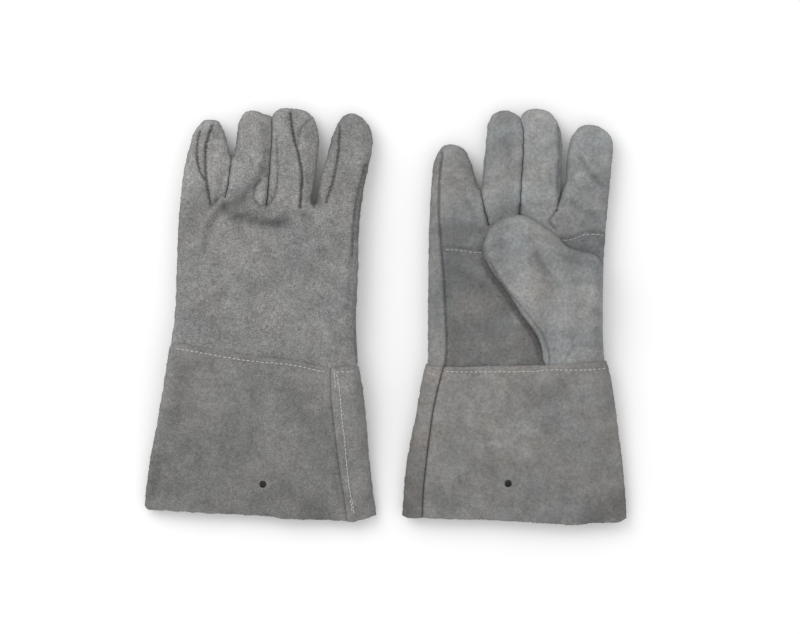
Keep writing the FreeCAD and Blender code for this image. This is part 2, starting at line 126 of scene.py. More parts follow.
def ripples(x, y, wavelength, seed):
    """Smooth seeded noise of about the given wavelength, mostly from -1 to 1."""
    rng = np.random.default_rng(seed)
    total = np.zeros_like(np.asarray(x, float))
    for _ in range(9):
        angle, phase = rng.uniform(0, 2 * math.pi, 2)
        k = 2 * math.pi / (wavelength * rng.uniform(0.7, 1.5))
        total += np.cos(k * (x * math.cos(angle) + y * math.sin(angle)) + phase)
    return total / 4


def wander(line, amount=0.26):
    """Shift a line a little sideways here and there, as cut leather does; its ends stay."""
    place = np.arange(len(line))
    fade = np.minimum(1, np.minimum(place, place[::-1]) / 4)
    wave = ripples(line[:, 0], line[:, 1], 9, 11) + 0.9 * ripples(line[:, 0], line[:, 1], 2.8, 12)
    return line + side_normals(line) * (amount * fade * wave)[:, None]


def moved(points, across, along):
    return [(x + across, y + along) for x, y in points]


def across_at(line, y):
    """How far across a line is at each y; the line runs from the fingers' end to the mouth's."""
    return np.interp(y, line[::-1, 1], line[::-1, 0])


def dome(distance, radius):
    """From 0 at an edge to 1 inside it, like a quarter of an ellipse."""
    inward = 1 - np.clip(distance / radius, 0, 1)
    return np.sqrt(np.maximum(0, 1 - inward**2.2))


def ramp(value, low, high):
    """From 0 at low to 1 at high, level at both ends."""
    t = np.clip((value - low) / (high - low), 0, 1)
    return t * t * (3 - 2 * t)


def bell(distance, width):
    """1 on a line, falling off smoothly beside it."""
    return np.exp(-((distance / width) ** 2))


def tree_of(points):
    """A search tree over plan points."""
    tree = KDTree(len(points))
    for i, (x, y) in enumerate(points):
        tree.insert((x, y, 0), i)
    tree.balance()
    return tree


class Near:
    """Distance from plan points to the nearest of some lines.

    Past reach, only that the distance is more than reach matters. The last answer is kept, because
    the same points are asked about many times.
    """

    def __init__(self, lines, step=0.3, reach=math.inf):
        points = np.vstack([resample(line, step) for line in lines])
        self.tree = tree_of(points)
        self.low, self.high = points.min(0) - reach, points.max(0) + reach
        self.reach = reach
        self.asked = self.answer = None

    def __call__(self, points):
        if points is not self.asked:
            close = np.all((points >= self.low) & (points <= self.high), axis=1)
            find = self.tree.find
            answer = np.full(len(points), self.reach)
            answer[close] = [find((x, y, 0))[2] for x, y in points[close].tolist()]
            self.asked, self.answer = points, answer
        return self.answer


def near_folds(folds, reach=None):
    """Folds or seams with a Near in place of each line; it looks four half-widths away, or reach."""
    return [
        (height, width, dark, Near([spline(line)], reach=reach or 4 * width))
        for height, width, dark, line in folds
    ]


def inside(points, loop):
    """Even-odd test of plan points against a closed outline."""
    order = np.argsort(points[:, 1])
    x, y = points[order, 0], points[order, 1]
    odd = np.zeros(len(points), bool)
    for (x0, y0), (x1, y1) in zip(loop, np.roll(loop, -1, axis=0)):
        first, last = np.searchsorted(y, (min(y0, y1), max(y0, y1)))
        if last > first:
            band = slice(first, last)
            odd[band] ^= x[band] < (x1 - x0) * (y[band] - y0) / (y1 - y0) + x0
    result = np.zeros(len(points), bool)
    result[order] = odd
    return result


# ---------------------------------------------------------------- outlines, seams and folds

# Each slit runs up from the crotch between two fingers to where their tips part. A tip runs round one
# finger, from its little-finger side to its thumb side.
GLOVES = {
    "left": {
        "outer_left": [(-185, -52), (-183.2, -38), (-181.5, -26.5), (-180.6, -17), (-179.2, -7),
                       (-177.7, 9.2), (-176.6, 45), (-175.4, 75), (-174.2, 92)],
        "outer_right": [(-20.6, 92), (-22.4, 70), (-23.2, 38.6), (-24.5, 6.4), (-26.2, -20), (-24, -41),
                        (-21, -60)],
        "slits": [
            [(-135.2, 101), (-133.9, 106), (-132.2, 116), (-130.3, 131)],
            [(-100.1, 95), (-98.8, 107.3), (-97.6, 128.4), (-96, 150), (-96, 168.6)],
            [(-60.2, 92.4), (-60.2, 93.6)],
        ],
        "tips": {
            "little": [(-172.6, 109), (-170.3, 125.5), (-165.4, 145.2), (-161.5, 157), (-155, 165.4),
                       (-148.3, 167.1), (-141.4, 165.2), (-138.4, 160), (-134.6, 149.3)],
            "ring": [(-126.8, 145.2), (-125.2, 160), (-123, 168), (-119, 173), (-113, 174.8),
                     (-104.5, 172.8), (-99, 170.6)],
            "middle": [(-93.5, 173.4), (-90, 176), (-84, 177), (-74, 175.9), (-66, 173.2), (-60.4, 167),
                       (-57.3, 158), (-56.4, 148), (-58.4, 124), (-60, 112), (-61.8, 103), (-62.9, 98),
                       (-62.4, 94.8)],
            "index": [(-57.8, 94.8), (-57.2, 98.5), (-56.6, 107), (-54.3, 118.6), (-50.5, 131.1),
                      (-47, 146), (-42.1, 160), (-36.5, 169), (-29.4, 172.5), (-22.5, 170.4), (-16.4, 165),
                      (-12.2, 158), (-10.8, 150), (-11.6, 140), (-14.1, 128.4), (-18.3, 107.3)],
        },
    },
    "right": {
        "outer_left": [(32.4, -56), (34.4, -46), (35.8, -38), (36, -26), (36, -5), (36.2, 16.2), (36.4, 45),
                       (36.8, 70), (37.5, 86)],
        "outer_right": [(188, 90), (186, 66), (184.7, 45.9), (183.9, 16.2), (184.1, -17.1), (185.8, -38),
                        (188.4, -49), (190, -58)],
        "slits": [
            [(87.4, 77.5), (84.1, 90), (81.2, 103)],
            [(113.7, 86.5), (114.3, 98.4), (114.8, 110.5), (116.7, 137.5), (116.7, 157.7), (114.5, 167.6)],
            [(145, 90), (145.8, 94)],
        ],
        "tips": {
            "little": [(38.3, 103), (39.6, 120), (41.4, 131), (44.6, 139), (49.5, 144.8), (55, 146),
                       (61.5, 144.6), (67, 141.6), (70.6, 135.5), (74, 126), (77.6, 113)],
            "ring": [(81.9, 111), (83.4, 130.8), (85.6, 151), (86.9, 163), (90.2, 170), (95.6, 173.9),
                     (103.4, 174.6), (110, 172)],
            "middle": [(117.2, 172.5), (121.4, 175.4), (128, 176.5), (136.8, 174.4), (143, 169.5),
                       (147.6, 160.5), (149.6, 150), (149.9, 140), (149.1, 124), (148, 106)],
            "index": [(147.6, 99), (150.4, 106.5), (152.8, 115), (153.4, 126), (154.8, 141.5),
                      (158.1, 152.4), (163.6, 159.6), (170.5, 162.6), (178, 162), (185.6, 158.6),
                      (190.8, 152.6), (192.9, 144.5), (191.6, 127), (189.8, 109)],
        },
    },
}

# Seams on the upper face: (depth of the groove, its half-width, how dark it is, line)
SEAMS = {
    "left": [
        (1.2, 0.9, 0.85, [(-146.6, 161), (-151.4, 145.2), (-152.1, 131.1), (-150.8, 112.8), (-147.6, 95)]),
        (1.1, 0.8, 0.80, [(-157, 156.3), (-159.2, 142.4), (-158.5, 131.1), (-155.6, 120.3), (-152.6, 116)]),
        (1.3, 0.9, 0.90, [(-80.4, 172.5), (-79, 160), (-76.6, 148), (-73.6, 138.2), (-70.6, 120),
                          (-71.8, 92)]),
        (0.7, 0.9, 0.34, [(-63.8, 167.5), (-71.5, 157.8), (-74.3, 145.2)]),
        (1.1, 0.9, 0.75, [(-38.6, 160), (-40, 135.4), (-44.2, 114.5), (-50, 96)]),
        (0.9, 0.8, 0.60, [(-17.3, 128.4), (-21.1, 112.9), (-24.5, 98.9), (-27.4, 70.9), (-28, 52)]),
        (0.4, 0.8, 0.12, [(-28, 52), (-28.1, 40.1), (-30.8, 16.5), (-31.5, -8)]),
    ],
    "right": [
        (0.9, 0.7, 0.62, [(48.2, 138.6), (46.6, 125), (45.6, 112), (45.3, 90.3), (46.7, 63.4), (49, 36.4),
                          (50.3, 9.5), (51.7, -26.4), (49.6, -46)]),
        (0.6, 0.7, 0.25, [(46.8, 58.4), (56, 58.6), (64.4, 57.9), (73.9, 56.2), (84, 55.6)]),
        (0.6, 0.7, 0.25, [(149, 66), (158.8, 67.2), (166.8, 70.6), (176.2, 71.2), (186, 70.6)]),
        (0.8, 0.9, 0.42, [(146, 160), (147, 145), (146.4, 124), (145.4, 106)]),
    ],
}

# Soft folds on the upper face: (height, half-width, painted shade, line); a valley's height is negative, and
# a negative shade is a painted highlight on a ridge
FOLDS = {
    "left": [
        (-2.4, 4.2, 0.38, [(-124, 84), (-114, 81), (-103, 79.2), (-92, 78.6), (-84, 79.4)]),
        (-0.8, 3.0, 0.16, [(-113, 80.6), (-101, 78.6), (-90, 78.8)]),
        (-1.2, 4.8, 0.20, [(-92, 79.6), (-78, 80.6), (-64, 85)]),
        (-0.8, 4.6, 0.14, [(-122, 85), (-132, 88.5)]),
        (1.6, 3.6, 0.12, [(-133, 80), (-122, 86), (-110, 90), (-98, 90.6), (-86, 90), (-72, 88)]),
        (-2.3, 4.2, 0.46, [(-103.5, 123), (-108, 114), (-116, 105.5), (-125, 96.5), (-134.5, 93.5)]),
        (-1.9, 2.6, 0.40, [(-103.6, 162), (-102.4, 150), (-101.6, 138), (-103, 126)]),
        (1.5, 2.4, -0.06, [(-149, 84), (-143, 91), (-137, 97.6), (-132, 103)]),
        (-1.6, 1.0, 0.46, [(-147.6, 92.6), (-142, 98.4), (-136.6, 103)]),
        (1.3, 4.0, -0.08, [(-148, 87), (-153.5, 76), (-156, 62)]),
        (-1.6, 3.2, 0.26, [(-138, 90), (-146, 79), (-151, 66), (-152.5, 54)]),
        (-1.4, 3.0, 0.20, [(-136, 91), (-128, 83), (-121, 72), (-116, 60)]),
        (-1.3, 0.9, 0.55, [(-105.5, 115), (-110.2, 108.5), (-111, 101.5), (-109, 96), (-105, 93.2),
                           (-101, 94.2)]),
        (1.6, 3.6, -0.42, [(-105.4, 109), (-105.2, 100)]),
        (-0.8, 6.0, 0.16, [(-127, 105), (-117, 98)]),
        (-1.6, 2.4, 0.40, [(-99, 160), (-98.6, 145), (-98.6, 130), (-99.4, 119)]),
        (-1.1, 0.8, 0.60, [(-92, 150), (-91, 130), (-91.2, 112), (-94, 100), (-101, 91.5)]),
        (-0.8, 2.6, 0.48, [(-14.5, 128), (-18.5, 110), (-22, 92), (-24.6, 66)]),
        (-0.6, 5.5, 0.26, [(-63.5, 160), (-64, 140), (-65, 114)]),
        (-1.0, 2.6, 0.34, [(-145.5, 155.5), (-140.5, 151.5)]),
        (0.9, 1.5, -0.20, [(-147.5, 146.4), (-138, 146.8)]),
        (-0.7, 3.6, 0.16, [(-146, 141), (-138, 139)]),
        (-1.2, 3.0, 0.30, [(-136.8, 121), (-139.5, 109), (-144, 98.5)]),
        (-0.5, 1.8, 0.38, [(-125.6, 164), (-127, 148), (-129, 135)]),
        (-0.9, 1.7, 0.34, [(-55.8, 104), (-55.2, 93)]),
        (-1.0, 4.5, 0.10, [(-104, 74), (-100, 60), (-98, 44)]),
        (1.1, 3.6, -0.09, [(-171, 8), (-158, 13), (-146, 20), (-134, 31)]),
        (-1.0, 4.2, 0.13, [(-152, 8), (-142, 13), (-134, 22)]),
        (0.9, 6.0, -0.05, [(-60, 60), (-52, 30), (-50, 0)]),
        (-1.0, 4.0, 0.12, [(-66, 84), (-58, 70), (-54, 54)]),
        (-0.9, 5.0, 0.10, [(-70, 60), (-86, 40), (-104, 26), (-124, 16)]),
        (0.8, 5.0, -0.06, [(-62, 46), (-80, 26), (-100, 12)]),
    ],
    "right": [
        (-1.2, 2.4, 0.34, [(165.2, 133.9), (174, 121), (183, 110.3)]),
        (1.5, 3.6, -0.14, [(147, 99), (152, 102.5), (161, 99.4)]),
        (-1.3, 1.0, 0.55, [(144.8, 90), (142, 86), (138.8, 81.5), (140.4, 77), (144, 73.5)]),
        (-0.9, 3.0, 0.16, [(158, 96), (168, 88), (180, 85)]),
        (-0.8, 5.0, 0.16, [(154, 114), (162, 110), (176, 106)]),
        (-0.9, 5.0, 0.18, [(154, 96), (164, 92), (174, 88)]),
        (-1.0, 3.0, 0.22, [(66, 105), (69, 98), (72, 91)]),
        (-1.0, 3.0, 0.26, [(73, 77), (77, 74), (81, 72.5)]),
        (-0.9, 4.0, 0.14, [(139, 120), (143, 112)]),
        (-0.8, 4.0, 0.12, [(60, 40), (74, 30), (90, 22)]),
        (0.7, 5.0, -0.06, [(56, 20), (70, 8), (100, -6)]),
        (-0.9, 3.0, 0.14, [(56, 100), (62, 84), (72, 70)]),
        (-0.8, 3.0, 0.14, [(116, 104), (124, 96), (138, 92)]),
        (-0.9, 3.4, 0.18, [(101, 148), (105, 136), (104, 122)]),
        (-1.2, 2.4, 0.55, [(113.8, 86), (114.2, 94)]),
    ],
}

# The same on the upper face of each cuff, with painted shade in the valleys and painted highlight on the
# ridges; one with no height is a light scuff
CUFF_FOLDS = {
    "left": [
        (-1.2, 7.5, 0.22, [(-146, -40), (-165, -46), (-171, -62), (-174, -78), (-178, -90), (-184, -104)]),
        (0.8, 3.6, -0.16, [(-185, -48), (-190, -76), (-194, -92)]),
        (1.2, 7.5, -0.14, [(-97, -58), (-95, -84), (-98, -112)]),
        (-0.9, 8.0, 0.14, [(-78, -72), (-66, -90), (-68, -112)]),
        (-0.8, 7.0, 0.10, [(-160, -112), (-158, -130)]),
        (-1.0, 5.5, 0.38, [(-193, -120), (-194, -136), (-197, -148)]),
        (0.3, 1.8, -0.10, [(-152, -143), (-151.6, -153)]),
        (-0.8, 8.0, 0.12, [(-84, -146), (-66, -158), (-54, -166)]),
        (0.8, 6.0, -0.06, [(-150, -128), (-144, -156)]),
        (-0.7, 8.0, 0.08, [(-150, -156), (-128, -150), (-116, -160)]),
    ],
    "right": [
        (-1.0, 7.0, 0.15, [(110, -58), (132, -68), (152, -62)]),
        (-0.9, 7.0, 0.15, [(84, -102), (92, -122), (88, -140)]),
        (1.0, 8.0, -0.08, [(112, -80), (120, -106), (118, -128)]),
        (-0.8, 8.0, 0.10, [(140, -90), (134, -112), (146, -128)]),
        (-0.8, 9.0, 0.10, [(186, -84), (188, -112), (184, -136)]),
        (-0.6, 6.0, 0.16, [(24, -90), (19, -124), (17, -168)]),
        (-0.8, 9.0, 0.18, [(172, -170), (190, -164), (202, -154)]),
        (-0.6, 8.0, 0.14, [(40, -150), (52, -164)]),
        (0.0, 1.2, -0.24, [(95.4, -96.4), (99, -95.4), (104.5, -96)]),
        (0.0, 1.2, -0.22, [(113, -98.8), (118, -98.4)]),
        (0.0, 1.2, -0.20, [(122, -98), (130.5, -94.4)]),
        (0.0, 1.5, -0.22, [(86.5, -107), (96, -107.9)]),
    ],
}

# Finger-base rows of stitches on the palm-up glove. The palm-down glove's are moved to its own palm.
BASE_SHIFT = (-209, 6.5)
BASE_ROWS = [
    [(50.4, 56.6), (64.4, 55.9), (73.9, 54.3), (81.5, 53.8)],
    [(150.2, 64.2), (158.8, 65.4), (166.8, 68.8), (176.2, 69.4), (185, 68.8)],
]

# The free edge of the thumb, from the cuff up over the palm, round the tip, to the edge of the hand
THUMB_EDGE = [
    (136, -46), (133.4, -36), (131.9, -27), (128.4, -17.5), (121.9, -7.3), (114.1, 3.4), (106.3, 15.6),
    (98.1, 27), (90, 37.8), (84.7, 48), (82.2, 56.7), (83.6, 64.5), (86.4, 71.8), (91.6, 78.4), (100.4, 83.8),
    (111, 85.9), (120, 83.8), (129.2, 79), (138.5, 72.8), (146.6, 66), (153.4, 59.4), (162.7, 55.4),
    (171.5, 53.8), (179, 50.4), (184.6, 43),
]
THUMB_SEAM = [
    (88, 46), (99.3, 26.6), (112.2, 11.2), (123.8, -3.4), (131.6, -14.1), (136.4, -24.8), (138.2, -32.5),
    (138, -44),
]
# The thumb's fold at the edge of the hand, from the tip's end to the wrist
THUMB_FOLD = [(184.3, 30), (183.9, 5), (184.3, -20), (185.6, -46)]
# Folds on the thumb, as in FOLDS: (height, half-width, painted shade, line); a negative shade is a painted
# highlight
THUMB_FOLDS = [
    (-1.3, 3.6, 0.20, [(120, 66), (125, 53), (136, 38)]),
    (1.0, 4.5, -0.08, [(106, 66), (116, 46), (130, 32)]),
    (-1.0, 3.0, 0.14, [(127, 54), (134, 40), (140, 24)]),
    (-1.4, 4.0, 0.24, [(150, 50.5), (164, 46), (180, 42)]),
    (0.8, 5.0, -0.06, [(146, 40), (152, 14), (152, -14)]),
    (-0.7, 1.2, 0.18, [(158.5, -25), (151.7, -39)]),
    (-0.7, 1.2, 0.18, [(158.5, -25), (170.3, -25)]),
]
THUMB_FOLD_X = 185.8   # the hinge that the thumb's lines above were drawn for
WRIST_Y = {"left": -34.0, "right": -40.5}   # where each hand goes into its cuff

# Where the fingers' tone gives way to the hand's: on the palm-up glove along a line of (x, y) places,
# on the palm-down glove over a band of y
TONE_CHANGE = np.array([(40, 58), (84, 55.5), (100, 80), (148, 66), (160, 67.5), (186, 70.5)])
TONE_BAND = (88, 116)

# Cuffs: wrist, mouth and join run from the little-finger side to the thumb side, the others from wrist to
# mouth. flush is the little-finger side seam on the palm face, lap the lapped edge on the back face.
# join and lap_stitches are rows of stitches, and hole is the middle of the punched hole.
CUFFS = {
    "left": {
        "wrist": [(-182.6, -25.6), (-177.3, -22.6), (-154.2, -26.3), (-131.8, -30.4), (-106.5, -33.9),
                  (-81.3, -36.2), (-61.7, -40.4), (-46, -43.6), (-34, -42.6), (-22.6, -41.8)],
        "mouth": [(-204.6, -160.6), (-201, -163.6), (-183.7, -164.6), (-145.7, -166.9), (-103.7, -168.9),
                  (-84, -171.4), (-47.7, -172.5), (-31.6, -173.4), (-26, -173.8), (-7.7, -168.6)],
        "left": [(-182.6, -25.6), (-185.7, -45), (-189.9, -70.1), (-194.8, -96.8), (-199.8, -122),
                 (-203.3, -147.2), (-204.6, -160.6)],
        "right": [(-22.6, -41.8), (-18.3, -67.3), (-15.6, -95.4), (-13.8, -119.1), (-10.7, -147.2),
                  (-7.7, -168.6)],
        "lap": [(-45.6, -36), (-45.6, -43.5), (-45.2, -70.1), (-42.1, -98.2), (-39, -126.2), (-35.9, -145),
                (-33.7, -161.2), (-31.6, -176)],
        "flush": [(-166, -18), (-169, -45), (-173, -70), (-178, -97), (-183, -122), (-186.5, -147),
                  (-188, -168)],
        "join": [[(-176.5, -27), (-154.2, -30.6), (-131.8, -34.8), (-106.5, -38.1), (-81.3, -40.4),
                  (-61.7, -44.4), (-47.5, -47.4)], [(-41.6, -46.6), (-33, -46.4), (-25, -45.8)]],
        "lap_stitches": [[(-40.9, -48.4), (-38.6, -61.8), (-36.5, -87), (-34.3, -105.2), (-32.3, -130.4),
                          (-30.2, -147.2), (-28.1, -157), (-26.2, -168.5)],
                         [(-43.2, -46.8), (-42, -60)], [(-29.8, -155), (-27.8, -166)]],
        "hole": (-103.7, -142),
    },
    "right": {
        "wrist": [(34.6, -39.5), (39, -41.6), (49.6, -42.7), (84, -42), (110, -41.6), (138.5, -40.6),
                  (166, -39.4), (187, -37.4)],
        "mouth": [(14, -168.8), (19, -170.6), (30.8, -170.6), (57.8, -171.7), (84.7, -172.2), (117, -174),
                  (138.5, -175.3), (161.4, -176.5), (176.2, -174.9), (197.9, -174), (204.6, -171)],
        "left": [(34.6, -39.5), (32.8, -45.4), (29.4, -61.5), (25.4, -85.8), (21.3, -104.6), (17.3, -128.9),
                 (15.3, -151.7), (14, -168.8)],
        "right": [(187, -37.4), (190.4, -49.3), (193.8, -69.6), (197.9, -100.6), (200.6, -120.8),
                  (203.3, -147.7), (204.6, -171)],
        "flush": [(51, -34), (48.6, -44), (44.2, -61.5), (40.2, -80.4), (36.9, -104.6), (34.2, -127.5),
                  (32.2, -147.7), (31.2, -174)],
        "lap": [(163, -30), (166, -60), (170, -90), (174, -120), (177, -150), (179, -180)],
        "join": [[(50.6, -46.6), (80, -46.7), (110.2, -46.6), (125.1, -46.3), (142.3, -44.9), (158.8, -45.3),
                  (176.2, -44.6), (188.2, -43.4)], [(35.2, -47.6), (40, -49.2), (45, -50.6)]],
        "lap_stitches": [[(168, -48), (171, -70), (175, -100), (179, -130), (182.4, -166)]],
        "hole": (103.8, -141.3),
    },
}
HOLE_RADIUS = 3.0
MOUTH_HALF = 5.6       # half the open height inside the cuff's mouth
CAST_SHADOW = 5.2      # how far the raised edge of the folded thumb keeps the light off the palm

# Brightness of each piece beside the whole, as the hides differ; the palm-up hand's is for its
# little-finger side
TONE = {
    "left": {"hand": 1.00, "little": 1.18, "ring": 1.14, "middle": 1.16, "index": 1.0, "thumb": 1.0,
             "cuff_back": 0.88, "cuff_palm": 0.98},
    "right": {"hand": 0.72, "little": 0.99, "ring": 1.10, "middle": 1.29, "index": 1.18, "thumb": 1.09,
              "cuff_back": 0.95, "cuff_palm": 0.95},
}


# ---------------------------------------------------------------- meshes

def in_any(points, loops):
    """Which plan points lie in at least one of the loops."""
    return np.any([inside(points, loop) for loop in loops], axis=0)


def close_rows(lines, loops, distance):
    """Points in rows close beside the lines that ask for them, thinned where two rows meet."""
    rows = [
        line + sign * row * side_normals(line)
        for line, line_rows in lines for row in line_rows for sign in (-1, 1)
    ]
    points = np.vstack(rows)
    points = points[in_any(points, loops)]
    points = points[distance(points) > 0.08]
    find = tree_of(points).find_range
    keep = [all(other >= i for _, other, _ in find((x, y, 0), 0.09)) for i, (x, y) in enumerate(points)]
    return points[keep]


def fill_plan(lines, loops):
    """Triangles over plan loops. lines are (line, distances of close rows beside it).

    Returns the points, the triangles, each triangle's loop number, and each point's line number or -1.
    """
    all_lines = [line for line, _ in lines]
    distance = Near(all_lines, 0.2)
    low = np.min([loop.min(0) for loop in loops], axis=0)
    high = np.max([loop.max(0) for loop in loops], axis=0)
    grid = np.stack(
        np.meshgrid(np.arange(low[0], high[0], GRID), np.arange(low[1], high[1], GRID * 0.866)), axis=-1
    )
    grid[1::2, :, 0] += GRID / 2
    grid = grid.reshape(-1, 2)
    grid = grid[in_any(grid, loops)]
    grid = grid[distance(grid) > 0.5 * GRID]
    for line, rows in lines:
        if rows:
            beside = Near([line], 0.2, rows[-1] + GRID)
            grid = grid[beside(grid) > rows[-1] + 0.5 * GRID]
    grid = np.vstack([grid, close_rows(lines, loops, distance)])
    points, edges, marks = [], [], []
    for number, (line, _) in enumerate(lines):
        start = len(points)
        points += line.tolist()
        marks += [number] * len(line)
        edges += [(start + i, start + i + 1) for i in range(len(line) - 1)]
    marks += [-1] * len(grid)
    points += grid.tolist()
    out, _, faces, origin, _, _ = delaunay_2d_cdt([Vector(p) for p in points], edges, [], 0, 1e-3)
    plan = np.array([(p.x, p.y) for p in out])
    mark = np.array([max((marks[i] for i in sources), default=-1) for sources in origin])
    triangles = np.array([tuple(f) for f in faces if len(f) == 3])
    centres = plan[triangles].mean(1)
    label = np.full(len(triangles), -1)
    for number, loop in enumerate(loops):
        label[inside(centres, loop) & (label < 0)] = number
    return plan, triangles[label >= 0], label[label >= 0], mark


def two_faces(plan, triangles, rim, edge, upper, lower):
    """A closed skin whose upper and lower face lie over one plan and meet along its rim.

    Returns the points, the faces, and each plan point's number on the lower face.
    """
    under = np.arange(len(plan))
    under[~rim] = len(plan) + np.arange((~rim).sum())
    points = np.vstack([
        np.column_stack([plan, np.where(rim, edge, upper)]),
        np.column_stack([plan[~rim], lower[~rim]]),
    ])
    return points, np.vstack([triangles, under[triangles][:, ::-1]]), under


def tube_faces(rings, sides):
    """Triangles between neighbouring rings of points."""
    faces = []
    for ring in range(rings - 1):
        for i in range(sides):
            a, b = sides * ring + i, sides * ring + (i + 1) % sides
            faces += [(a, b, b + sides), (a, b + sides, a + sides)]
    return faces


def compact(points, faces, *values):
    """Only the points that the faces use, with their values."""
    used, numbers = np.unique(faces, return_inverse=True)
    return (points[used], numbers.reshape(np.shape(faces)), used) + tuple(v[used] for v in values)


def point_normals(points, faces):
    a, b, c = (points[faces[:, i]] for i in range(3))
    normal = np.cross(b - a, c - a)
    total = np.zeros_like(points)
    for i in range(3):
        np.add.at(total, faces[:, i], normal)
    return total / (np.linalg.norm(total, axis=1)[:, None] + 1e-12)


def thicken(points, faces, wall):
    """Give an open sheet its wall, inwards, and round over its cut edges."""
    normals = point_normals(points, faces)
    edges = np.vstack([faces[:, [0, 1]], faces[:, [1, 2]], faces[:, [2, 0]]])
    _, index, count = np.unique(np.sort(edges, axis=1), axis=0, return_index=True, return_counts=True)
    rim = edges[index[count == 1]]
    on_rim = np.zeros(len(points))
    on_rim[rim.ravel()] = 0.22 * wall
    outer = points - on_rim[:, None] * normals
    inner = points - (wall - on_rim)[:, None] * normals
    a, b, n = rim[:, 0], rim[:, 1], len(points)
    walls = np.vstack([np.column_stack([b, a, a + n]), np.column_stack([b, a + n, b + n])])
    return np.vstack([outer, inner]), np.vstack([faces, faces[:, ::-1] + n, walls])


def make_object(name, points, faces, material, shade=0.0, tone=1.0, normals=None):
    """A smooth mesh from points in millimetres, with its rest place and shading kept on its points."""
    mesh = bpy.data.meshes.new(name)
    points = np.asarray(points, float)
    mesh.from_pydata((points * MM).tolist(), [], np.asarray(faces).tolist())
    mesh.polygons.foreach_set("use_smooth", np.ones(len(mesh.polygons), bool))
    rest = mesh.attributes.new("rest", "FLOAT_VECTOR", "POINT")
    rest.data.foreach_set("vector", points.astype(np.float32).ravel())
    for key, values in (("shade", shade), ("tone", tone)):
        attribute = mesh.attributes.new(key, "FLOAT", "POINT")
        values = np.broadcast_to(np.asarray(values, np.float32), len(points))
        attribute.data.foreach_set("value", np.ascontiguousarray(values))
    if normals is not None:
        mesh.normals_split_custom_set_from_vertices(normals.tolist())
    mesh.update()
    mesh.materials.append(material)
    thing = bpy.data.objects.new(name, mesh)
    bpy.context.collection.objects.link(thing)
    return thing


# ---------------------------------------------------------------- materials

class Shader:
    """Short ways to add nodes to one material."""

    def __init__(self, name):
        self.material = bpy.data.materials.new(name)
        self.material.use_nodes = True
        self.tree = self.material.node_tree
        self.surface = self.tree.nodes["Principled BSDF"]

    def node(self, kind, **inputs):
        node = self.tree.nodes.new(kind)
        for key, value in inputs.items():
            self.link(node, key.replace("_", " "), value)
        return node

    def link(self, node, key, value):
        if isinstance(value, bpy.types.NodeSocket):
            self.tree.links.new(value, node.inputs[key])
        else:
            node.inputs[key].default_value = value

    def attribute(self, name):
        node = self.node("ShaderNodeAttribute")
        node.attribute_name = name
        return node

    def rest_place(self):
        return self.attribute("rest").outputs["Vector"]

    def noise(self, size, detail=3.0, rough=0.55):
        """Noise with features of about size millimetres, from the piece's rest place."""
        noise = self.node("ShaderNodeTexNoise", Vector=self.rest_place(), Scale=1 / size, Detail=detail,
                          Roughness=rough)
        return noise.outputs["Fac"]

    def wave(self, scale, distortion):
        return self.node("ShaderNodeTexWave", Vector=self.rest_place(), Scale=scale, Distortion=distortion)

    def sum(self, first, second, operation="ADD"):
        node = self.node("ShaderNodeMath")
        node.operation = operation
        for i, value in enumerate((first, second)):
            self.link(node, i, value)
        return node.outputs[0]

    def times(self, first, second):
        return self.sum(first, second, "MULTIPLY")

    def spread(self, value, amount):
        """1 plus amount times how far a noise is from its middle, doubled."""
        return self.sum(self.times(self.sum(value, -0.5), 2 * amount), 1.0)

    def tint(self, colour, light):
        """Colour the surface, the colour made lighter or darker by light."""
        scale = self.node("ShaderNodeVectorMath")
        scale.operation = "SCALE"
        self.link(scale, 0, colour)
        self.link(scale, "Scale", light)
        self.tree.links.new(scale.outputs[0], self.surface.inputs["Base Color"])

    def bump(self, height, strength, depth):
        """Fine relief, depth in millimetres."""
        relief = self.node("ShaderNodeBump", Height=height, Strength=strength, Distance=depth * MM)
        self.tree.links.new(relief.outputs[0], self.surface.inputs["Normal"])

    def surface_values(self, **values):
        """Set inputs of the surface; their names have _ in place of spaces."""
        for key, value in values.items():
            self.link(self.surface, key.replace("_", " "), value)


def leather_material(name, cool, warm, blotches, mottling, graininess):
    """Split-leather suede: a mottled, fuzzy nap, cool and warm in blotches, darkened by the painted shade
    kept on its points.
    """
    s = Shader(name)
    mottle, grain = s.noise(3.0, 4, 0.62), s.noise(1.15, 3, 0.65)
    light = s.times(s.spread(s.noise(34, 2), blotches), s.spread(s.noise(11, 3), 0.30))
    light = s.times(light, s.times(s.spread(mottle, mottling), s.spread(grain, graininess)))
    # the shade kept on the points: painted shade in creases, between fingers and along outlines, painted
    # highlight on ridges below 0, and darker seams and light scuffs
    dark = s.sum(1.0, s.times(s.attribute("shade").outputs["Fac"], 0.72), "SUBTRACT")
    light = s.times(s.times(light, dark), s.attribute("tone").outputs["Fac"])
    hue = s.node("ShaderNodeMix")
    hue.data_type = "RGBA"
    s.tree.links.new(s.sum(s.times(s.noise(38, 2), 3.0), -1.1), hue.inputs["Factor"])
    first_colour, second_colour, mixed_colour = 6, 7, 2
    for socket, value in ((first_colour, cool), (second_colour, warm)):
        hue.inputs[socket].default_value = (*value, 1)
    s.tint(hue.outputs[mixed_colour], light)
    height = s.sum(s.times(mottle, 0.8), s.sum(s.times(grain, 0.6), s.times(s.noise(0.5, 2), 0.3)))
    s.bump(height, 1.0, 1.1)
    s.surface_values(Roughness=0.95, Specular_IOR_Level=0.15, Sheen_Weight=0.06, Sheen_Roughness=0.6)
    return s.material


def thread_material():
    """Off-white spun thread, a little soiled, with its twist across each stitch."""
    s = Shader("stitch_thread")
    twist = s.wave(0.9, 1.5)
    twist.wave_type = "BANDS"
    twist.bands_direction = "DIAGONAL"
    light = s.times(s.spread(s.noise(6, 2), 0.16), s.spread(twist.outputs["Fac"], 0.10))
    s.tint((0.48, 0.47, 0.445), light)
    s.bump(twist.outputs["Fac"], 0.6, 0.1)
    s.surface_values(Roughness=0.8)
    return s.material


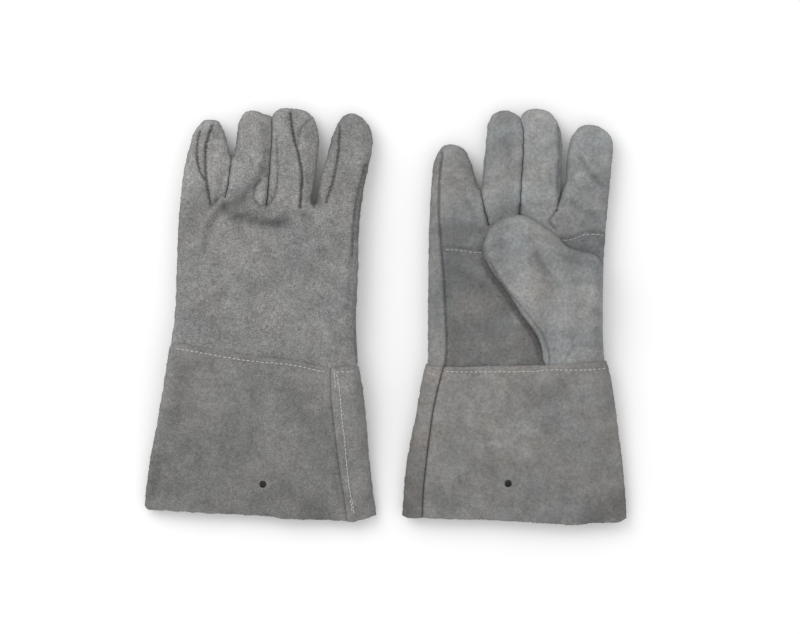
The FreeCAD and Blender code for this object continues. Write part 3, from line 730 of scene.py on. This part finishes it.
def cotton_material():
    """Unbleached cotton jersey."""
    s = Shader("cotton_lining")
    rib = s.wave(0.16, 0.6)
    light = s.times(s.spread(s.noise(1.2, 3), 0.2), s.spread(rib.outputs["Fac"], 0.08))
    s.tint((0.62, 0.59, 0.52), light)
    s.bump(rib.outputs["Fac"], 0.5, 0.3)
    s.surface_values(Roughness=0.9)
    return s.material


# Each hide's cool and warm colour, and how strong its blotches, its mottling and its grain are
HIDES = {
    "left": ((0.226, 0.227, 0.225), (0.228, 0.223, 0.215), 0.36, 0.50, 1.15),
    "left_cuff": ((0.227, 0.226, 0.222), (0.228, 0.223, 0.215), 0.36, 0.45, 0.85),
    "right_cuff": ((0.219, 0.224, 0.221), (0.231, 0.216, 0.203), 0.42, 0.48, 0.50),
    "right": ((0.221, 0.231, 0.234), (0.226, 0.220, 0.211), 0.55, 0.48, 0.44),
}
LEATHERS = {name: leather_material(f"suede_{name}", *look) for name, look in HIDES.items()}
THREAD = thread_material()
COTTON = cotton_material()


# ---------------------------------------------------------------- hand and fingers

class Hand:
    """One hand with its finger stalls: outlines, heights and shading at any plan point."""

    fullness = 0.94        # share of the CAD's half height that the leather reaches
    tip_thinning = 0.12    # how much less of it at the fingertips
    sinking_bend = 90      # rounds the bend where the fingers begin to sink
    press_rise = 0.42      # share of the half height that two fingers push their seams up
    press_width = 4
    collar_rise = 0.8      # the leather gathers up where it goes into the cuff
    tucked = 0.35          # and is that much flatter inside

    def __init__(self, side):
        self.side = side
        self.palm = PALM_UP[side]
        low, high = node_box(f"{side}_hand_back")
        palm_low, palm_high = node_box(f"{side}_hand_palm")
        bottom, top = min(low[2], palm_low[2]), max(high[2], palm_high[2])
        self.middle, self.half = (bottom + top) / 2, (top - bottom) / 2
        finger = min(node_box(f"{side}_middle_{word}")[0][2] for word in ("back", "front"))
        self.knuckle = JOINTS[f"{side}_middle_curl"]["pos_m"][1] / MM
        reach = node_box(f"{side}_middle_back")[1][1] - self.knuckle
        self.slope = (self.middle - self.half - finger) / reach
        self.make_outline()
        self.lowest = FLOOR_GAP + (LAP_RISE if self.palm > 0 else 0)
        self.seams = near_folds(SEAMS[side], reach=9)
        self.folds = near_folds(FOLDS[side])
        self.cuff_edge = spline(CUFFS[side]["wrist"])
        self.thumb = np.array(thumb_loop(side))
        self.thumb_near = Near([np.vstack([self.thumb, self.thumb[:1]])], 1.0)

    def make_outline(self):
        """Plan lines: sides, slits, fingertips, the finger roots where the stalls are cut, and the wrist."""
        lines = GLOVES[self.side]
        slits = [wander(spline(points)) for points in lines["slits"]]
        left = lines["outer_left"]
        right = lines["outer_right"]
        tips = [lines["tips"][name] for name in NAMES]
        ends_left = [left[-2:]] + [points[-2:] for points in lines["slits"]]
        ends_right = [points[-2:] for points in lines["slits"]] + [right[1::-1]]
        self.tips = []
        for tip, before, after in zip(tips, ends_left, ends_right):
            points = [before[1]] + tip + [after[1]]
            self.tips.append(wander(spline(points, before[0], after[0])))
        self.slits = slits
        self.left = wander(spline(left, after=tips[0][0]))
        self.right = wander(spline(right, before=tips[-1][-1]))
        corners = [self.left[-1]] + [slit[0] for slit in slits] + [self.right[0]]
        self.roots = [resample([a, b], GRID) for a, b in zip(corners, corners[1:])]
        self.wrist = resample([self.left[0], self.right[-1]], GRID)
        self.outer = Near([self.left, self.right] + self.tips, 0.1)
        self.between = Near(slits, 0.1)

    def loops(self):
        """The hand's own plan loop, then one for each finger."""
        loops = [np.vstack([self.left[:-1]] + [root[:-1] for root in self.roots] + [self.right])]
        starts = [self.left[-1:]] + self.slits
        ends = self.slits + [self.right[:1]]
        for start, tip, end in zip(starts, self.tips, ends):
            loops.append(np.vstack([start[:-1], tip, end[::-1][1:]]))
        return loops

    def level(self, points):
        """Height of the side seams: level in the hand, sinking to the fingertips."""
        x, y = points[:, 0], points[:, 1]
        beyond = y - self.knuckle
        level = self.middle - self.slope * (beyond + np.sqrt(beyond**2 + self.sinking_bend)) / 2
        if self.side == "left":
            # clear of the thumb under the palm, the little-finger side sinks
            level -= 5.5 * ramp(-x, 95, 180) * (1 - ramp(y, 90, 150)) * ramp(y, -60, 10)
        return np.maximum(level, LOWEST_SEAM)

    def edge(self, points):
        """Height of the seams: like level, but higher where two fingers press together."""
        pressed = bell(self.between(points), self.press_width)
        return self.level(points) + self.press_rise * self.half * pressed

    def floor(self, points):
        """What the lower face lies on: the surface, the thumb under the palm, or the cuff round it."""
        cuff_below = LEATHER + 0.6
        return self.bed(points) + cuff_below * ramp(self.below_cuff_edge(points), -8, 0)

    def bed(self, points):
        """Height of the surface, or of the thumb folded under the palm."""
        ground = np.full(len(points), self.lowest)
        if self.side == "left":
            away = np.where(inside(points, self.thumb), 0, self.thumb_near(points))
            lifted = self.middle - self.half + 0.2
            # beside the thumb, the palm comes down over this distance
            flat, down = 1, 24
            ground += (lifted - FLOOR_GAP) * (1 - ramp(away, flat, down))
        return ground

    def below_cuff_edge(self, points):
        """How far a point is below the cuff's wrist edge, so under the cuff."""
        return np.interp(points[:, 0], self.cuff_edge[:, 0], self.cuff_edge[:, 1]) - points[:, 1]

    def puff(self, points):
        """0 at the outline to 1 inside; the hand fills the cuff's corners where it goes in."""
        radius = OUTER_ROUND - 5 * ramp(self.below_cuff_edge(points), -4, 3)
        return dome(self.outer(points), radius) * dome(self.between(points), SLIT_ROUND)

    def smooth_top(self, points):
        """The upper face without its folds, which the thumb and the cuff lie on."""
        x, y = points[:, 0], points[:, 1]
        thick = self.half * (self.fullness - self.tip_thinning * ramp(y, 120, 176))
        swell = 0.6 * ripples(x, y, 46, 3) + 0.3 * ripples(x, y, 17, 5)
        edge = self.edge(points)
        collar = self.collar_rise * bell(self.below_cuff_edge(points) - 4, 3)
        rise = self.level(points) + (thick + swell) * self.tuck(points) + collar - edge
        return edge + rise * self.puff(points)

    def tuck(self, points):
        """Less than 1 where the hand's end is tucked into the cuff."""
        return 1 - self.tucked * ramp(self.below_cuff_edge(points), 4, 16)

    def heights(self, points):
        """Upper face, lower face and shading of the upper face."""
        x, y = points[:, 0], points[:, 1]
        puff, edge = self.puff(points), self.edge(points)
        upper = self.smooth_top(points) + 0.12 * ripples(x, y, 7, 8) * puff
        shade = np.zeros(len(points))
        for depth, width, dark, near in self.seams:
            gap = near(points)
            lip = 0.4 * bell(gap - 2.6, 1.7)
            upper += depth * (lip - bell(gap, width)) * puff
            shade = np.maximum(shade, dark * bell(gap, 0.8 * width))
        # painted shade in the folds' valleys and painted highlight on their ridges
        for height, width, dark, near in self.folds:
            gap = near(points)
            upper += height * bell(gap, width) * puff
            shade = shade + dark * bell(gap, 0.9 * width)
        # painted shade along the outline and in the slits between the fingers
        shade += OUTLINE_SHADE * bell(self.outer(points), OUTLINE_BAND)
        shade += 0.14 * bell(self.between(points), 1.0)
        if self.palm > 0:
            # the shadow beside the thumb's long free edge, which fades where the thumb covers the palm
            gap = self.thumb_near(points) * np.where(inside(points, self.thumb), -1, 1)
            beside = ramp(y, -46, -30) * (1 - ramp(y + 0.5 * (x - 84), 40, 54))
            cast = (1 - ramp(gap, CAST_SHADOW - 1, CAST_SHADOW + 0.8)) * ramp(gap, -5, 0)
            shade += 0.50 * cast * beside
        lower = edge - (edge - self.floor(points)) * self.tuck(points) * puff
        return upper, lower, np.clip(shade, -0.3, 1)


def thumb_shift(side):
    """How far across and along the thumb's lines move for a glove."""
    across = JOINTS[f"{side}_thumb_open"]["pos_m"][0] / MM - THUMB_FOLD_X
    return across, WRIST_Y[side] - WRIST_Y["right"]


def thumb_loop(side):
    """Plan outline of the thumb: its free edge, then straight down the fold at the edge of the hand."""
    return moved(THUMB_EDGE + THUMB_FOLD, *thumb_shift(side))


def tone_of(hand, plan, labels, triangles):
    """Brightness at each plan point: a tone for each piece, soft where no seam parts them."""
    side = hand.side
    tones = dict(TONE[side])
    tone = np.full(len(plan), tones["hand"])
    for number, name in enumerate(NAMES, start=1):
        tone[triangles[labels == number].ravel()] = tones[name]
    if side == "left":
        tone = tones["hand"] + (tone - tones["hand"]) * ramp(plan[:, 1], *TONE_BAND)
    in_hand = np.zeros(len(plan), bool)
    in_hand[triangles[labels == 0].ravel()] = True
    x, y = plan[in_hand, 0], plan[in_hand, 1]
    above = [tones[name] for name in NAMES]
    centres = [np.mean(root[:, 0]) for root in hand.roots]
    fingers = np.interp(x, centres, above)
    if side == "left":
        share = ramp(y, *TONE_BAND)
    else:
        # darker towards the little finger and down from the seam; the fingers lighten up from it
        row = np.interp(x, *TONE_CHANGE.T)
        share = ramp(y, row - 0.6, row + 0.6)
        tones["hand"] = np.interp(x, [60, 150], [tones["hand"], 0.84]) - 0.07 * ramp(row - y, 6, 40)
        low = np.interp(x, [84, 140], [0.74, 0.84])
        fingers = fingers * (low + (1.02 - low) * ramp(y, row, row + 48))
    tone[in_hand] = tones["hand"] + (fingers - tones["hand"]) * share
    if side == "right":
        seam = spline(SEAMS[side][0][-1])
        x, y = plan[:, 0], plan[:, 1]
        # the strip of back leather that wraps round the little-finger edge, and the index fingertip
        strip = (x < across_at(seam, y)) & (y < seam[0, 1])
        tone[strip] = 0.96
        tone *= 1 + 0.16 * ramp(y, 112, 150) * ramp(x, 148, 156)
    return tone


def build_hand(hand):
    """The hand and its four finger stalls, cut from one closed surface."""
    side = hand.side
    lines = [(line, ROUNDED_ROWS) for line in [hand.left, hand.right] + hand.slits + hand.tips]
    rounded = len(lines)
    lines += [(line, ()) for line in hand.roots + [hand.wrist]]
    plan, triangles, labels, mark = fill_plan(lines, hand.loops())
    rim = near_rim(plan, mark, lines[:rounded])
    upper, lower, shade = hand.heights(plan)
    tone = tone_of(hand, plan, labels, triangles)
    points, faces, under = two_faces(plan, triangles, rim, hand.edge(plan), upper, lower)
    # the lower face gets painted shade along its outline
    shades = np.r_[shade, 0.25 * bell(hand.outer(plan[~rim]), OUTLINE_BAND)]
    tones = np.r_[tone, tone[~rim]]
    face_labels = np.r_[labels, labels]
    whole = point_normals(points, faces)
    on_cut = np.zeros(len(points), bool)
    for number in range(rounded, len(lines)):
        cut = (mark == number) & ~rim
        on_cut[: len(plan)] |= cut
        on_cut[under[cut]] = True
    pieces = []
    for number, name in enumerate(("hand",) + NAMES):
        part, part_faces, _, part_shade, part_tone, seam, blended = compact(
            points, faces[face_labels == number], shades, tones, on_cut, whole
        )
        normals = point_normals(part, part_faces)
        normals[seam] = blended[seam]
        title = f"{side}_hand_leather" if name == "hand" else f"{side}_{name}_stall"
        pieces.append(make_object(title, part, part_faces, LEATHERS[side], part_shade, part_tone, normals))
    return pieces


def near_rim(plan, mark, lines):
    """Which plan points lie on the rounded lines, found by place because lines share their ends."""
    close = Near([line for line, _ in lines], 0.05)(plan) < 0.03
    return close | ((mark >= 0) & (mark < len(lines)))


# ---------------------------------------------------------------- thumb

def build_thumb(hand):
    """The thumb stall, folded over the palm: a closed, flattened tube."""
    side, palm = hand.side, hand.palm
    across, along = thumb_shift(side)
    free = wander(spline(moved(THUMB_EDGE, across, along)))
    fold = spline([free[-1]] + moved(THUMB_FOLD, across, along))
    base = resample([fold[-1], free[0]], GRID)
    loop = np.vstack([free[:-1], fold[:-1], base[:-1]])
    lines = [(line, ROUNDED_ROWS) for line in (free, fold, base)]
    plan, triangles, _, mark = fill_plan(lines, [loop])
    rim = near_rim(plan, mark, lines)
    free_gap, fold_gap, base_gap = (Near([line], 0.1)(plan) for line in (free, fold, base))
    seam_gap = Near([spline(moved(THUMB_SEAM, across, along))])(plan)
    y = plan[:, 1] - along
    flat_root, full_above = 2.2, 9.3
    rise = flat_root + full_above * ramp(y, -42, 10)
    free_round, fold_round, base_round = 8, 9, 2.5
    puff = dome(free_gap, free_round) * dome(fold_gap, fold_round) * dome(base_gap, base_round)
    rest = hand.smooth_top(plan) if palm > 0 else hand.floor(plan)
    swell = 0.5 * ripples(*plan.T, 30, 21) + 0.15 * ripples(*plan.T, 8, 22)
    # painted shade along the free edge, and a darker seam
    shade = 0.25 * bell(free_gap, OUTLINE_BAND) + 0.5 * bell(seam_gap, 0.9)
    crease = -0.9 * bell(seam_gap, 1.0) + 0.4 * bell(seam_gap - 2.4, 1.5)
    # painted shade and highlight of the thumb's folds
    for height, width, dark, line in THUMB_FOLDS:
        gap = Near([spline(moved(line, across, along))])(plan)
        crease = crease + height * bell(gap, width)
        shade = shade + dark * bell(gap, width)
    if palm > 0:
        # the free edge stands proud of the palm, so the thumb is undercut there
        clear = 0.4
        proud = 2.4 * np.minimum(rise / 6, 1) * (fold_gap > free_gap)
        edge = rest + clear + proud
        lower = rest + clear + proud * (1 - dome(free_gap, 6))
        upper = rest + clear + proud * (1 - puff) + (rise + swell + crease) * puff
    else:
        # between the surface and the palm above it, thinner towards the wrist
        ceiling = hand.middle - hand.half - 0.25
        thinnest = 2.5
        thick = thinnest + (ceiling - FLOOR_GAP - thinnest) * ramp(y, -44, 16)
        edge = ceiling - thick * (0.5 - 0.2 * bell(fold_gap, 12))
        upper = edge + (ceiling - edge) * puff
        lower = edge + (ceiling - thick - edge) * puff + (swell * 0.5 + crease * -0.5) * puff * (thick / 12)
        lower = np.maximum(lower, FLOOR_GAP)
    points, faces, _ = two_faces(plan, triangles, rim, edge, upper, lower)
    shades = np.r_[shade, 0.25 * bell(free_gap[~rim], OUTLINE_BAND)]
    points, faces, _, shades = compact(points, faces, shades)
    light = TONE[side]["thumb"] * (1 + 0.10 * (1 - ramp(points[:, 1] - along, -30, 50)))
    return make_object(f"{side}_thumb_stall", points, faces, LEATHERS[side], shades, light)


# ---------------------------------------------------------------- cuffs

class Cuff:
    """One flared cuff: plan lines and the heights of its two faces."""

    def __init__(self, hand):
        self.hand, self.side, self.palm = hand, hand.side, hand.palm
        lines = CUFFS[self.side]
        self.wrist, self.mouth = (wander(spline(lines[key])) for key in ("wrist", "mouth"))
        self.left, self.right = (wander(spline(lines[key])) for key in ("left", "right"))
        self.flush, self.lap = (spline(lines[key]) for key in ("flush", "lap"))
        turn = np.linspace(0, 2 * math.pi, 25)
        centre = np.array(lines["hole"])
        self.hole = centre + HOLE_RADIUS * np.column_stack([np.cos(turn), np.sin(turn)])
        self.side_gap = Near([self.left, self.right], 0.1)
        self.flush_gap, self.lap_gap = Near([self.flush]), Near([self.lap])
        self.wrist_gap = Near([self.wrist])
        self.folds = near_folds(CUFF_FOLDS[self.side])
        self.mouth_middle = MOUTH_HALF + LEATHER + hand.lowest

    def loop(self):
        """The cuff's plan outline."""
        return np.vstack([self.wrist[:-1], self.right[:-1], self.mouth[::-1][:-1], self.left[::-1][:-1]])

    def down(self, points):
        """How far down the cuff a point is, from 0 at the wrist to 1 at the mouth."""
        wrist = np.interp(points[:, 0], self.wrist[:, 0], self.wrist[:, 1])
        mouth = np.interp(points[:, 0], self.mouth[:, 0], self.mouth[:, 1])
        return np.clip((wrist - points[:, 1]) / (wrist - mouth), 0, 1)

    def level(self, points):
        """Height of the side edges: the hand's at the wrist, sinking to the middle of the mouth."""
        down = self.down(points)
        start = self.hand.middle + (0 if self.palm > 0 else -2.5 * ramp(-points[:, 0], 95, 180))
        return start + (self.mouth_middle - start) * (0.35 * down + 0.65 * ramp(down, 0, 1))

    def roundness(self, points):
        """0 at the side edges to 1 inside, over a wider band towards the mouth."""
        return dome(self.side_gap(points), OUTER_ROUND + 0.5 + 14 * self.down(points))

    def half(self, points):
        """Half the thickness: thick at the wrist, flatter and lens-shaped at the mouth."""
        down = self.down(points)
        x, y = points[:, 0], points[:, 1]
        thick = self.hand.half * self.hand.fullness + 2.5
        half = thick + (MOUTH_HALF + LEATHER - thick) * ramp(down, 0, 0.9)
        swell = 0.7 * ripples(x, 0.6 * y, 60, 31) + 0.25 * ripples(x, y, 22, 32)
        return (half + swell * (0.3 + 0.7 * down)) * self.roundness(points)

    def underside(self, points):
        """The lower face: round the hand at the wrist, then sagging to the surface."""
        level, half = self.level(points), self.half(points)
        bed, rest = self.hand.bed(points), self.hand.lowest
        share = self.roundness(points)
        wrist = level - (level - bed) * np.minimum(1, 1.06 * share)
        sagged = rest + (level - half - rest) * 0.45
        sagged = level - (level - sagged) * share
        return np.maximum(rest, wrist + (sagged - wrist) * ramp(self.down(points), 0, 0.45))

    def face(self, points, sign):
        """Outer height of the upper (1) or lower (-1) face, without the lap's rise."""
        if sign < 0:
            return self.underside(points)
        side_gap = self.side_gap(points)
        folds = sum(rise * bell(near(points), width) for rise, width, _, near in self.folds)
        height = self.level(points) + self.half(points) + folds * dome(side_gap, 8)
        if self.palm > 0:
            over_thumb_root = ramp(points[:, 0], 128, 146) * (1 - ramp(self.wrist_gap(points), 4, 40))
            height = height + 2.6 * over_thumb_root * dome(side_gap, 14)
        return height

    def top(self, points):
        """Upper outer surface with the lap included, for the stitches."""
        height = self.face(points, 1)
        if self.palm < 0:
            height = height + LAP_RISE * (points[:, 0] > across_at(self.lap, points[:, 1]))
        return height


def cuff_tone(cuff, name, points):
    """Brightness of a cuff panel: darker towards the mouth and, palm up, beside the seam and in a corner."""
    x, y = points[:, 0], points[:, 1]
    tone = TONE[cuff.side][name] * (1 - 0.10 * ramp(-y, 80, 172))
    if cuff.palm > 0:
        tone = tone * (1.07 - 0.10 * ramp(x, 90, 190))
        tone = tone * (1 - 0.11 * ramp(0.25 * (x - 166) - y, 150, 156) * ramp(x, 160, 172))
        tone = tone * (1 - 0.24 * ramp(-y, 66, 150) * (x < across_at(cuff.flush, y)))
    return tone


def build_cuff(cuff):
    """Two leather panels, sewn flush at the little-finger side and lapped at the thumb side."""
    side, palm = cuff.side, cuff.palm
    hidden = cuff.lap + np.array([8.0, 0])   # the back panel's edge under the lap
    lines = [(line, ROUNDED_ROWS) for line in (cuff.left, cuff.right)]
    cuts = (cuff.wrist, cuff.mouth, cuff.hole, cuff.flush, cuff.lap, hidden)
    lines += [(line, CUT_ROWS) for line in cuts]
    plan, triangles, _, _ = fill_plan(lines, [cuff.loop()])
    centres = plan[triangles].mean(1)
    solid = np.linalg.norm(centres - np.array(CUFFS[side]["hole"]), axis=1) > HOLE_RADIUS - 0.05
    triangles, centres = triangles[solid], centres[solid]
    # columns across the cuff, parted by the flush seam, the lapped edge and the hidden edge
    column = np.zeros(len(triangles), int)
    for line in (cuff.flush, cuff.lap, hidden):
        column += centres[:, 0] > across_at(line, centres[:, 1])
    rim = Near([cuff.left, cuff.right], 0.05)(plan) < 0.03
    level = cuff.level(plan)
    count = len(plan)
    flush, lap = cuff.flush_gap(plan), cuff.lap_gap(plan)
    x, y = plan[:, 0], plan[:, 1]
    fine = 0.12 * ripples(x, y, 6, 41)
    groove = 0.8 * bell(flush, 0.9) * (1 - rim)
    right_gap = Near([cuff.right], 0.2)(plan)
    rise = LAP_RISE * ramp(right_gap, 0.3, 6)
    # painted shade along the side edges
    shade_edge = OUTLINE_SHADE * bell(cuff.side_gap(plan), OUTLINE_BAND)
    shade_seam = 0.65 * bell(flush, 0.8)
    # painted shade and highlight of the cuff's folds, together with the light scuffs, which are wear
    fold_shade_and_scuffs = sum(dark * bell(near(plan), width) for _, width, dark, near in cuff.folds)
    back_sign = -palm

    def heights(sign, lifted):
        height = cuff.face(plan, sign) + sign * fine * (1 - rim)
        if sign == palm:
            height = height - sign * groove
        if lifted:
            height = height + sign * rise
        return np.where(rim, level, height)

    def assemble(name, palm_columns, back_columns, lifted):
        palm_z, back_z = heights(palm, False), heights(back_sign, lifted)
        points = np.vstack([np.column_stack([plan, palm_z]), np.column_stack([plan, back_z])])
        palm_faces = triangles[np.isin(column, palm_columns)]
        back_faces = triangles[np.isin(column, back_columns)]
        upper, lower = (palm_faces, back_faces) if palm > 0 else (back_faces, palm_faces)
        upper_start, lower_start = (0, count) if palm > 0 else (count, 0)
        faces = np.vstack([upper + upper_start, lower[:, ::-1] + lower_start])
        weld = np.arange(2 * count)
        weld[count:][rim] = np.arange(count)[rim]
        faces = weld[faces]
        # painted shade on the panel beside and under the lapped edge
        lap_shade = 0.35 * bell(lap, 1.4) * (not lifted)
        shades = np.r_[shade_edge + shade_seam, shade_edge + lap_shade]
        shades[:count] += fold_shade_and_scuffs * (palm > 0)
        shades[count:] += fold_shade_and_scuffs * (palm < 0)
        points, faces, _, shades = compact(points, faces, shades)
        points, faces = thicken(points, faces, LEATHER)
        shades, tones = np.r_[shades, shades], cuff_tone(cuff, name, points)
        return make_object(f"{side}_{name}", points, faces, LEATHERS[f"{side}_cuff"], shades, tones)

    return [assemble("cuff_back", (0,), (0, 1, 2), False), assemble("cuff_palm", (1, 2, 3), (2, 3), True)]


# ---------------------------------------------------------------- thread and lining

def stitch_tube(start, end, normal, radius):
    """One stitch: a short bent thread that dips into the leather at both ends."""
    along = end - start
    length = np.linalg.norm(along)
    along = along / length
    across = np.cross(normal, along)
    lift = (-0.55, 0.12, 0.30, 0.34, 0.30, 0.12, -0.55)
    share = (0.0, 0.10, 0.28, 0.5, 0.72, 0.90, 1.0)
    size = (0.75, 0.95, 1.0, 1.04, 1.0, 0.95, 0.75)
    rings = []
    turns = np.linspace(0, 2 * math.pi, THREAD_SIDES + 1)[:-1]
    for up, at, fat in zip(lift, share, size):
        centre = start + along * length * at + normal * up
        spoke = np.outer(np.cos(turns), across) + 0.85 * np.outer(np.sin(turns), normal)
        rings.append(centre + radius * fat * spoke)
    faces = tube_faces(len(rings), THREAD_SIDES)
    last = THREAD_SIDES * (len(rings) - 1)
    faces += [(0, i + 1, i) for i in range(1, THREAD_SIDES - 1)]
    faces += [(last, last + i, last + i + 1) for i in range(1, THREAD_SIDES - 1)]
    return np.vstack(rings), np.array(faces)


def sew(name, rows, height, sign=1, pitch=4.0, length=2.7, radius=0.42, seed=5):
    """Rows of stitches on a surface whose height is given for plan points; sign is its side."""
    rng = np.random.default_rng(seed)
    all_points, all_faces, count = [], [], 0
    for row in rows:
        line = spline(row, step=0.25)
        distance = np.r_[0, np.cumsum(np.linalg.norm(np.diff(line, axis=0), axis=1))]
        places = np.arange(0.4, distance[-1] - length, pitch) + rng.uniform(-0.25, 0.25)
        for at in places:
            ends = np.array([at, at + length + rng.uniform(-0.3, 0.2)])
            plan = np.column_stack([np.interp(ends, distance, line[:, i]) for i in range(2)])
            plan = plan + rng.normal(0, 0.12, plan.shape)
            start, end = np.column_stack([plan, height(plan)])
            points, faces = stitch_tube(start, end, np.array([0, 0, float(sign)]), radius)
            if sign < 0:
                faces = faces[:, ::-1]
            all_points.append(points)
            all_faces.append(faces + count)
            count += len(points)
    return make_object(name, np.vstack(all_points), np.vstack(all_faces), THREAD)


def build_lining(hand):
    """The cotton sleeve inside the hand, open at both ends."""
    side = hand.side
    ys = np.arange(max(hand.left[0, 1], hand.right[-1, 1]) + 4, hand.knuckle - 14, 3.0)
    rings = []
    for y in ys:
        left = np.interp(y, hand.left[:, 1], hand.left[:, 0]) + LINING_INSET
        right = across_at(hand.right, y) - LINING_INSET
        turn = np.linspace(0, math.pi, LINING_COLUMNS)
        across = (left + right) / 2 - (right - left) / 2 * np.cos(turn)
        plan = np.column_stack([across, np.full(LINING_COLUMNS, y)])
        level = hand.level(plan)
        top, bottom, _ = hand.heights(plan)
        upper = np.maximum(top - LINING_CLEAR, level + 0.3)
        lower = np.minimum(bottom + LINING_CLEAR, level - 0.3)
        rings.append(np.vstack([
            np.column_stack([plan, upper]),
            np.column_stack([plan, lower])[::-1],
        ]))
    faces = np.array(tube_faces(len(rings), 2 * LINING_COLUMNS))
    points, faces = thicken(np.vstack(rings), faces, LINING_WALL)
    return make_object(f"{side}_lining_sleeve", points, faces, COTTON)


# ---------------------------------------------------------------- putting a glove together

def bend_with_finger(piece, side, name, root):
    """Bakes the stall's place into its mesh; its finger's hinge and where a bend over the knuckle would start
    are worked out, but nothing here turns or bends the stall.
    """
    joint = JOINTS[f"{side}_{name}_curl"]
    hinge = np.array(joint["pos_m"]) / MM
    ax = np.array(joint["axis"]) * PALM_UP[side]
    along = np.array([-ax[1], ax[0], 0])
    bend_length, earliest = 19, -2
    start = max(np.dot(np.append(point, 0) - hinge, along) for point in root)
    start = max(start, earliest)
    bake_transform(piece)


def build_glove(side):
    """Every piece of one glove, with the CAD nodes that each replaces hidden; all but the finger and thumb
    stalls are tied to the glove's body.
    """
    hand = Hand(side)
    glove = f"{side}_glove"
    pieces = build_hand(hand)
    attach(pieces[0], glove)
    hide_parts(f"{side}_hand_back", f"{side}_hand_palm")
    gussets = {"little": ("thumb_side",), "ring": ("little_side", "thumb_side"),
               "middle": ("little_side", "thumb_side"), "index": ("little_side",)}
    for piece, name, root in zip(pieces[1:], NAMES, hand.roots):
        bend_with_finger(piece, side, name, root)
        nodes = [f"{side}_{name}_{word}" for word in ("back", "front")]
        nodes += [f"{side}_{name}_gusset_{word}" for word in gussets[name]]
        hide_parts(*nodes)
    thumb = build_thumb(hand)
    root = WRIST_Y[side] * MM
    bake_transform(thumb)
    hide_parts(f"{side}_thumb_outer", f"{side}_thumb_inner")
    cuff = Cuff(hand)
    panels = build_cuff(cuff)
    for panel, node in zip(panels, ("cuff_back", "cuff_palm")):
        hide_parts(f"{side}_{node}")
    sleeve = build_lining(hand)
    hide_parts(f"{side}_hand_lining")
    lines = CUFFS[side]
    join = sew(f"{side}_cuff_join_thread", lines["join"], cuff.top)
    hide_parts(f"{side}_cuff_join_stitches")
    if side == "left":
        lap = sew("left_cuff_lap_thread", lines["lap_stitches"], cuff.top, pitch=3.3, seed=6)
        base = sew("left_finger_base_thread", [moved(row, *BASE_SHIFT) for row in BASE_ROWS],
                   lambda p: hand.heights(p)[1], sign=-1, seed=7)
    else:
        lap = sew("right_cuff_lap_thread", lines["lap_stitches"],
                  lambda p: cuff.face(p, -1) - 0.1, sign=-1, seed=6)
        base = sew("right_finger_base_thread", BASE_ROWS,
                   lambda p: hand.heights(p)[0] - 0.12, radius=0.29, seed=7)
    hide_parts(f"{side}_cuff_lap_stitches")
    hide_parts(f"{side}_finger_base_stitches")
    for piece in panels + [sleeve, join, lap, base]:
        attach(piece, glove)


for glove_side in SIDES:
    build_glove(glove_side)


# ---------------------------------------------------------------- stage, light and camera

def plain_material(name, colour, roughness):
    s = Shader(name)
    s.surface_values(Base_Color=(*colour, 1), Roughness=roughness, Specular_IOR_Level=0.1)
    return s.material


def build_stage():
    """The white surface that the gloves lie on."""
    mesh = bpy.data.meshes.new("floor")
    reach = 6.0
    corners = [(-reach, -reach, 0), (reach, -reach, 0), (reach, reach, 0), (-reach, reach, 0)]
    mesh.from_pydata(corners, [], [(0, 1, 2, 3)])
    mesh.materials.append(plain_material("floor_white", (0.96, 0.96, 0.96), 0.9))
    floor = bpy.data.objects.new("floor", mesh)
    bpy.context.collection.objects.link(floor)


def area_light(name, place, aim, size, power):
    """A square light at a place in metres, turned to what it aims at."""
    light = bpy.data.lights.new(name, "AREA")
    light.size = size
    light.energy = power
    thing = bpy.data.objects.new(name, light)
    thing.location = place
    thing.rotation_euler = (Vector(aim) - Vector(place)).to_track_quat("-Z", "Y").to_euler()
    bpy.context.collection.objects.link(thing)


def build_lights():
    world = bpy.data.worlds.new("studio")
    world.use_nodes = True
    background = world.node_tree.nodes["Background"].inputs
    background["Color"].default_value = (1, 1, 1, 1)
    background["Strength"].default_value = 0.90
    bpy.context.scene.world = world
    area_light("soft_key", place=(-1.1, 1.0, 1.7), aim=(0, 0, 0), size=1.6, power=17)
    bpy.context.scene.view_settings.view_transform = "Standard"


def build_camera():
    """Straight above; field is the width in metres that the picture shows at the focus height."""
    camera = bpy.data.cameras.new("camera")
    height, field, focus = 2.5, 0.676, 0.02
    camera.sensor_width = 36
    camera.lens = 36 * (height - focus) / field
    thing = bpy.data.objects.new("camera", camera)
    thing.location = (0.0123, -0.0004, height)
    bpy.context.collection.objects.link(thing)
    bpy.context.scene.camera = thing


build_stage()
build_lights()
build_camera()
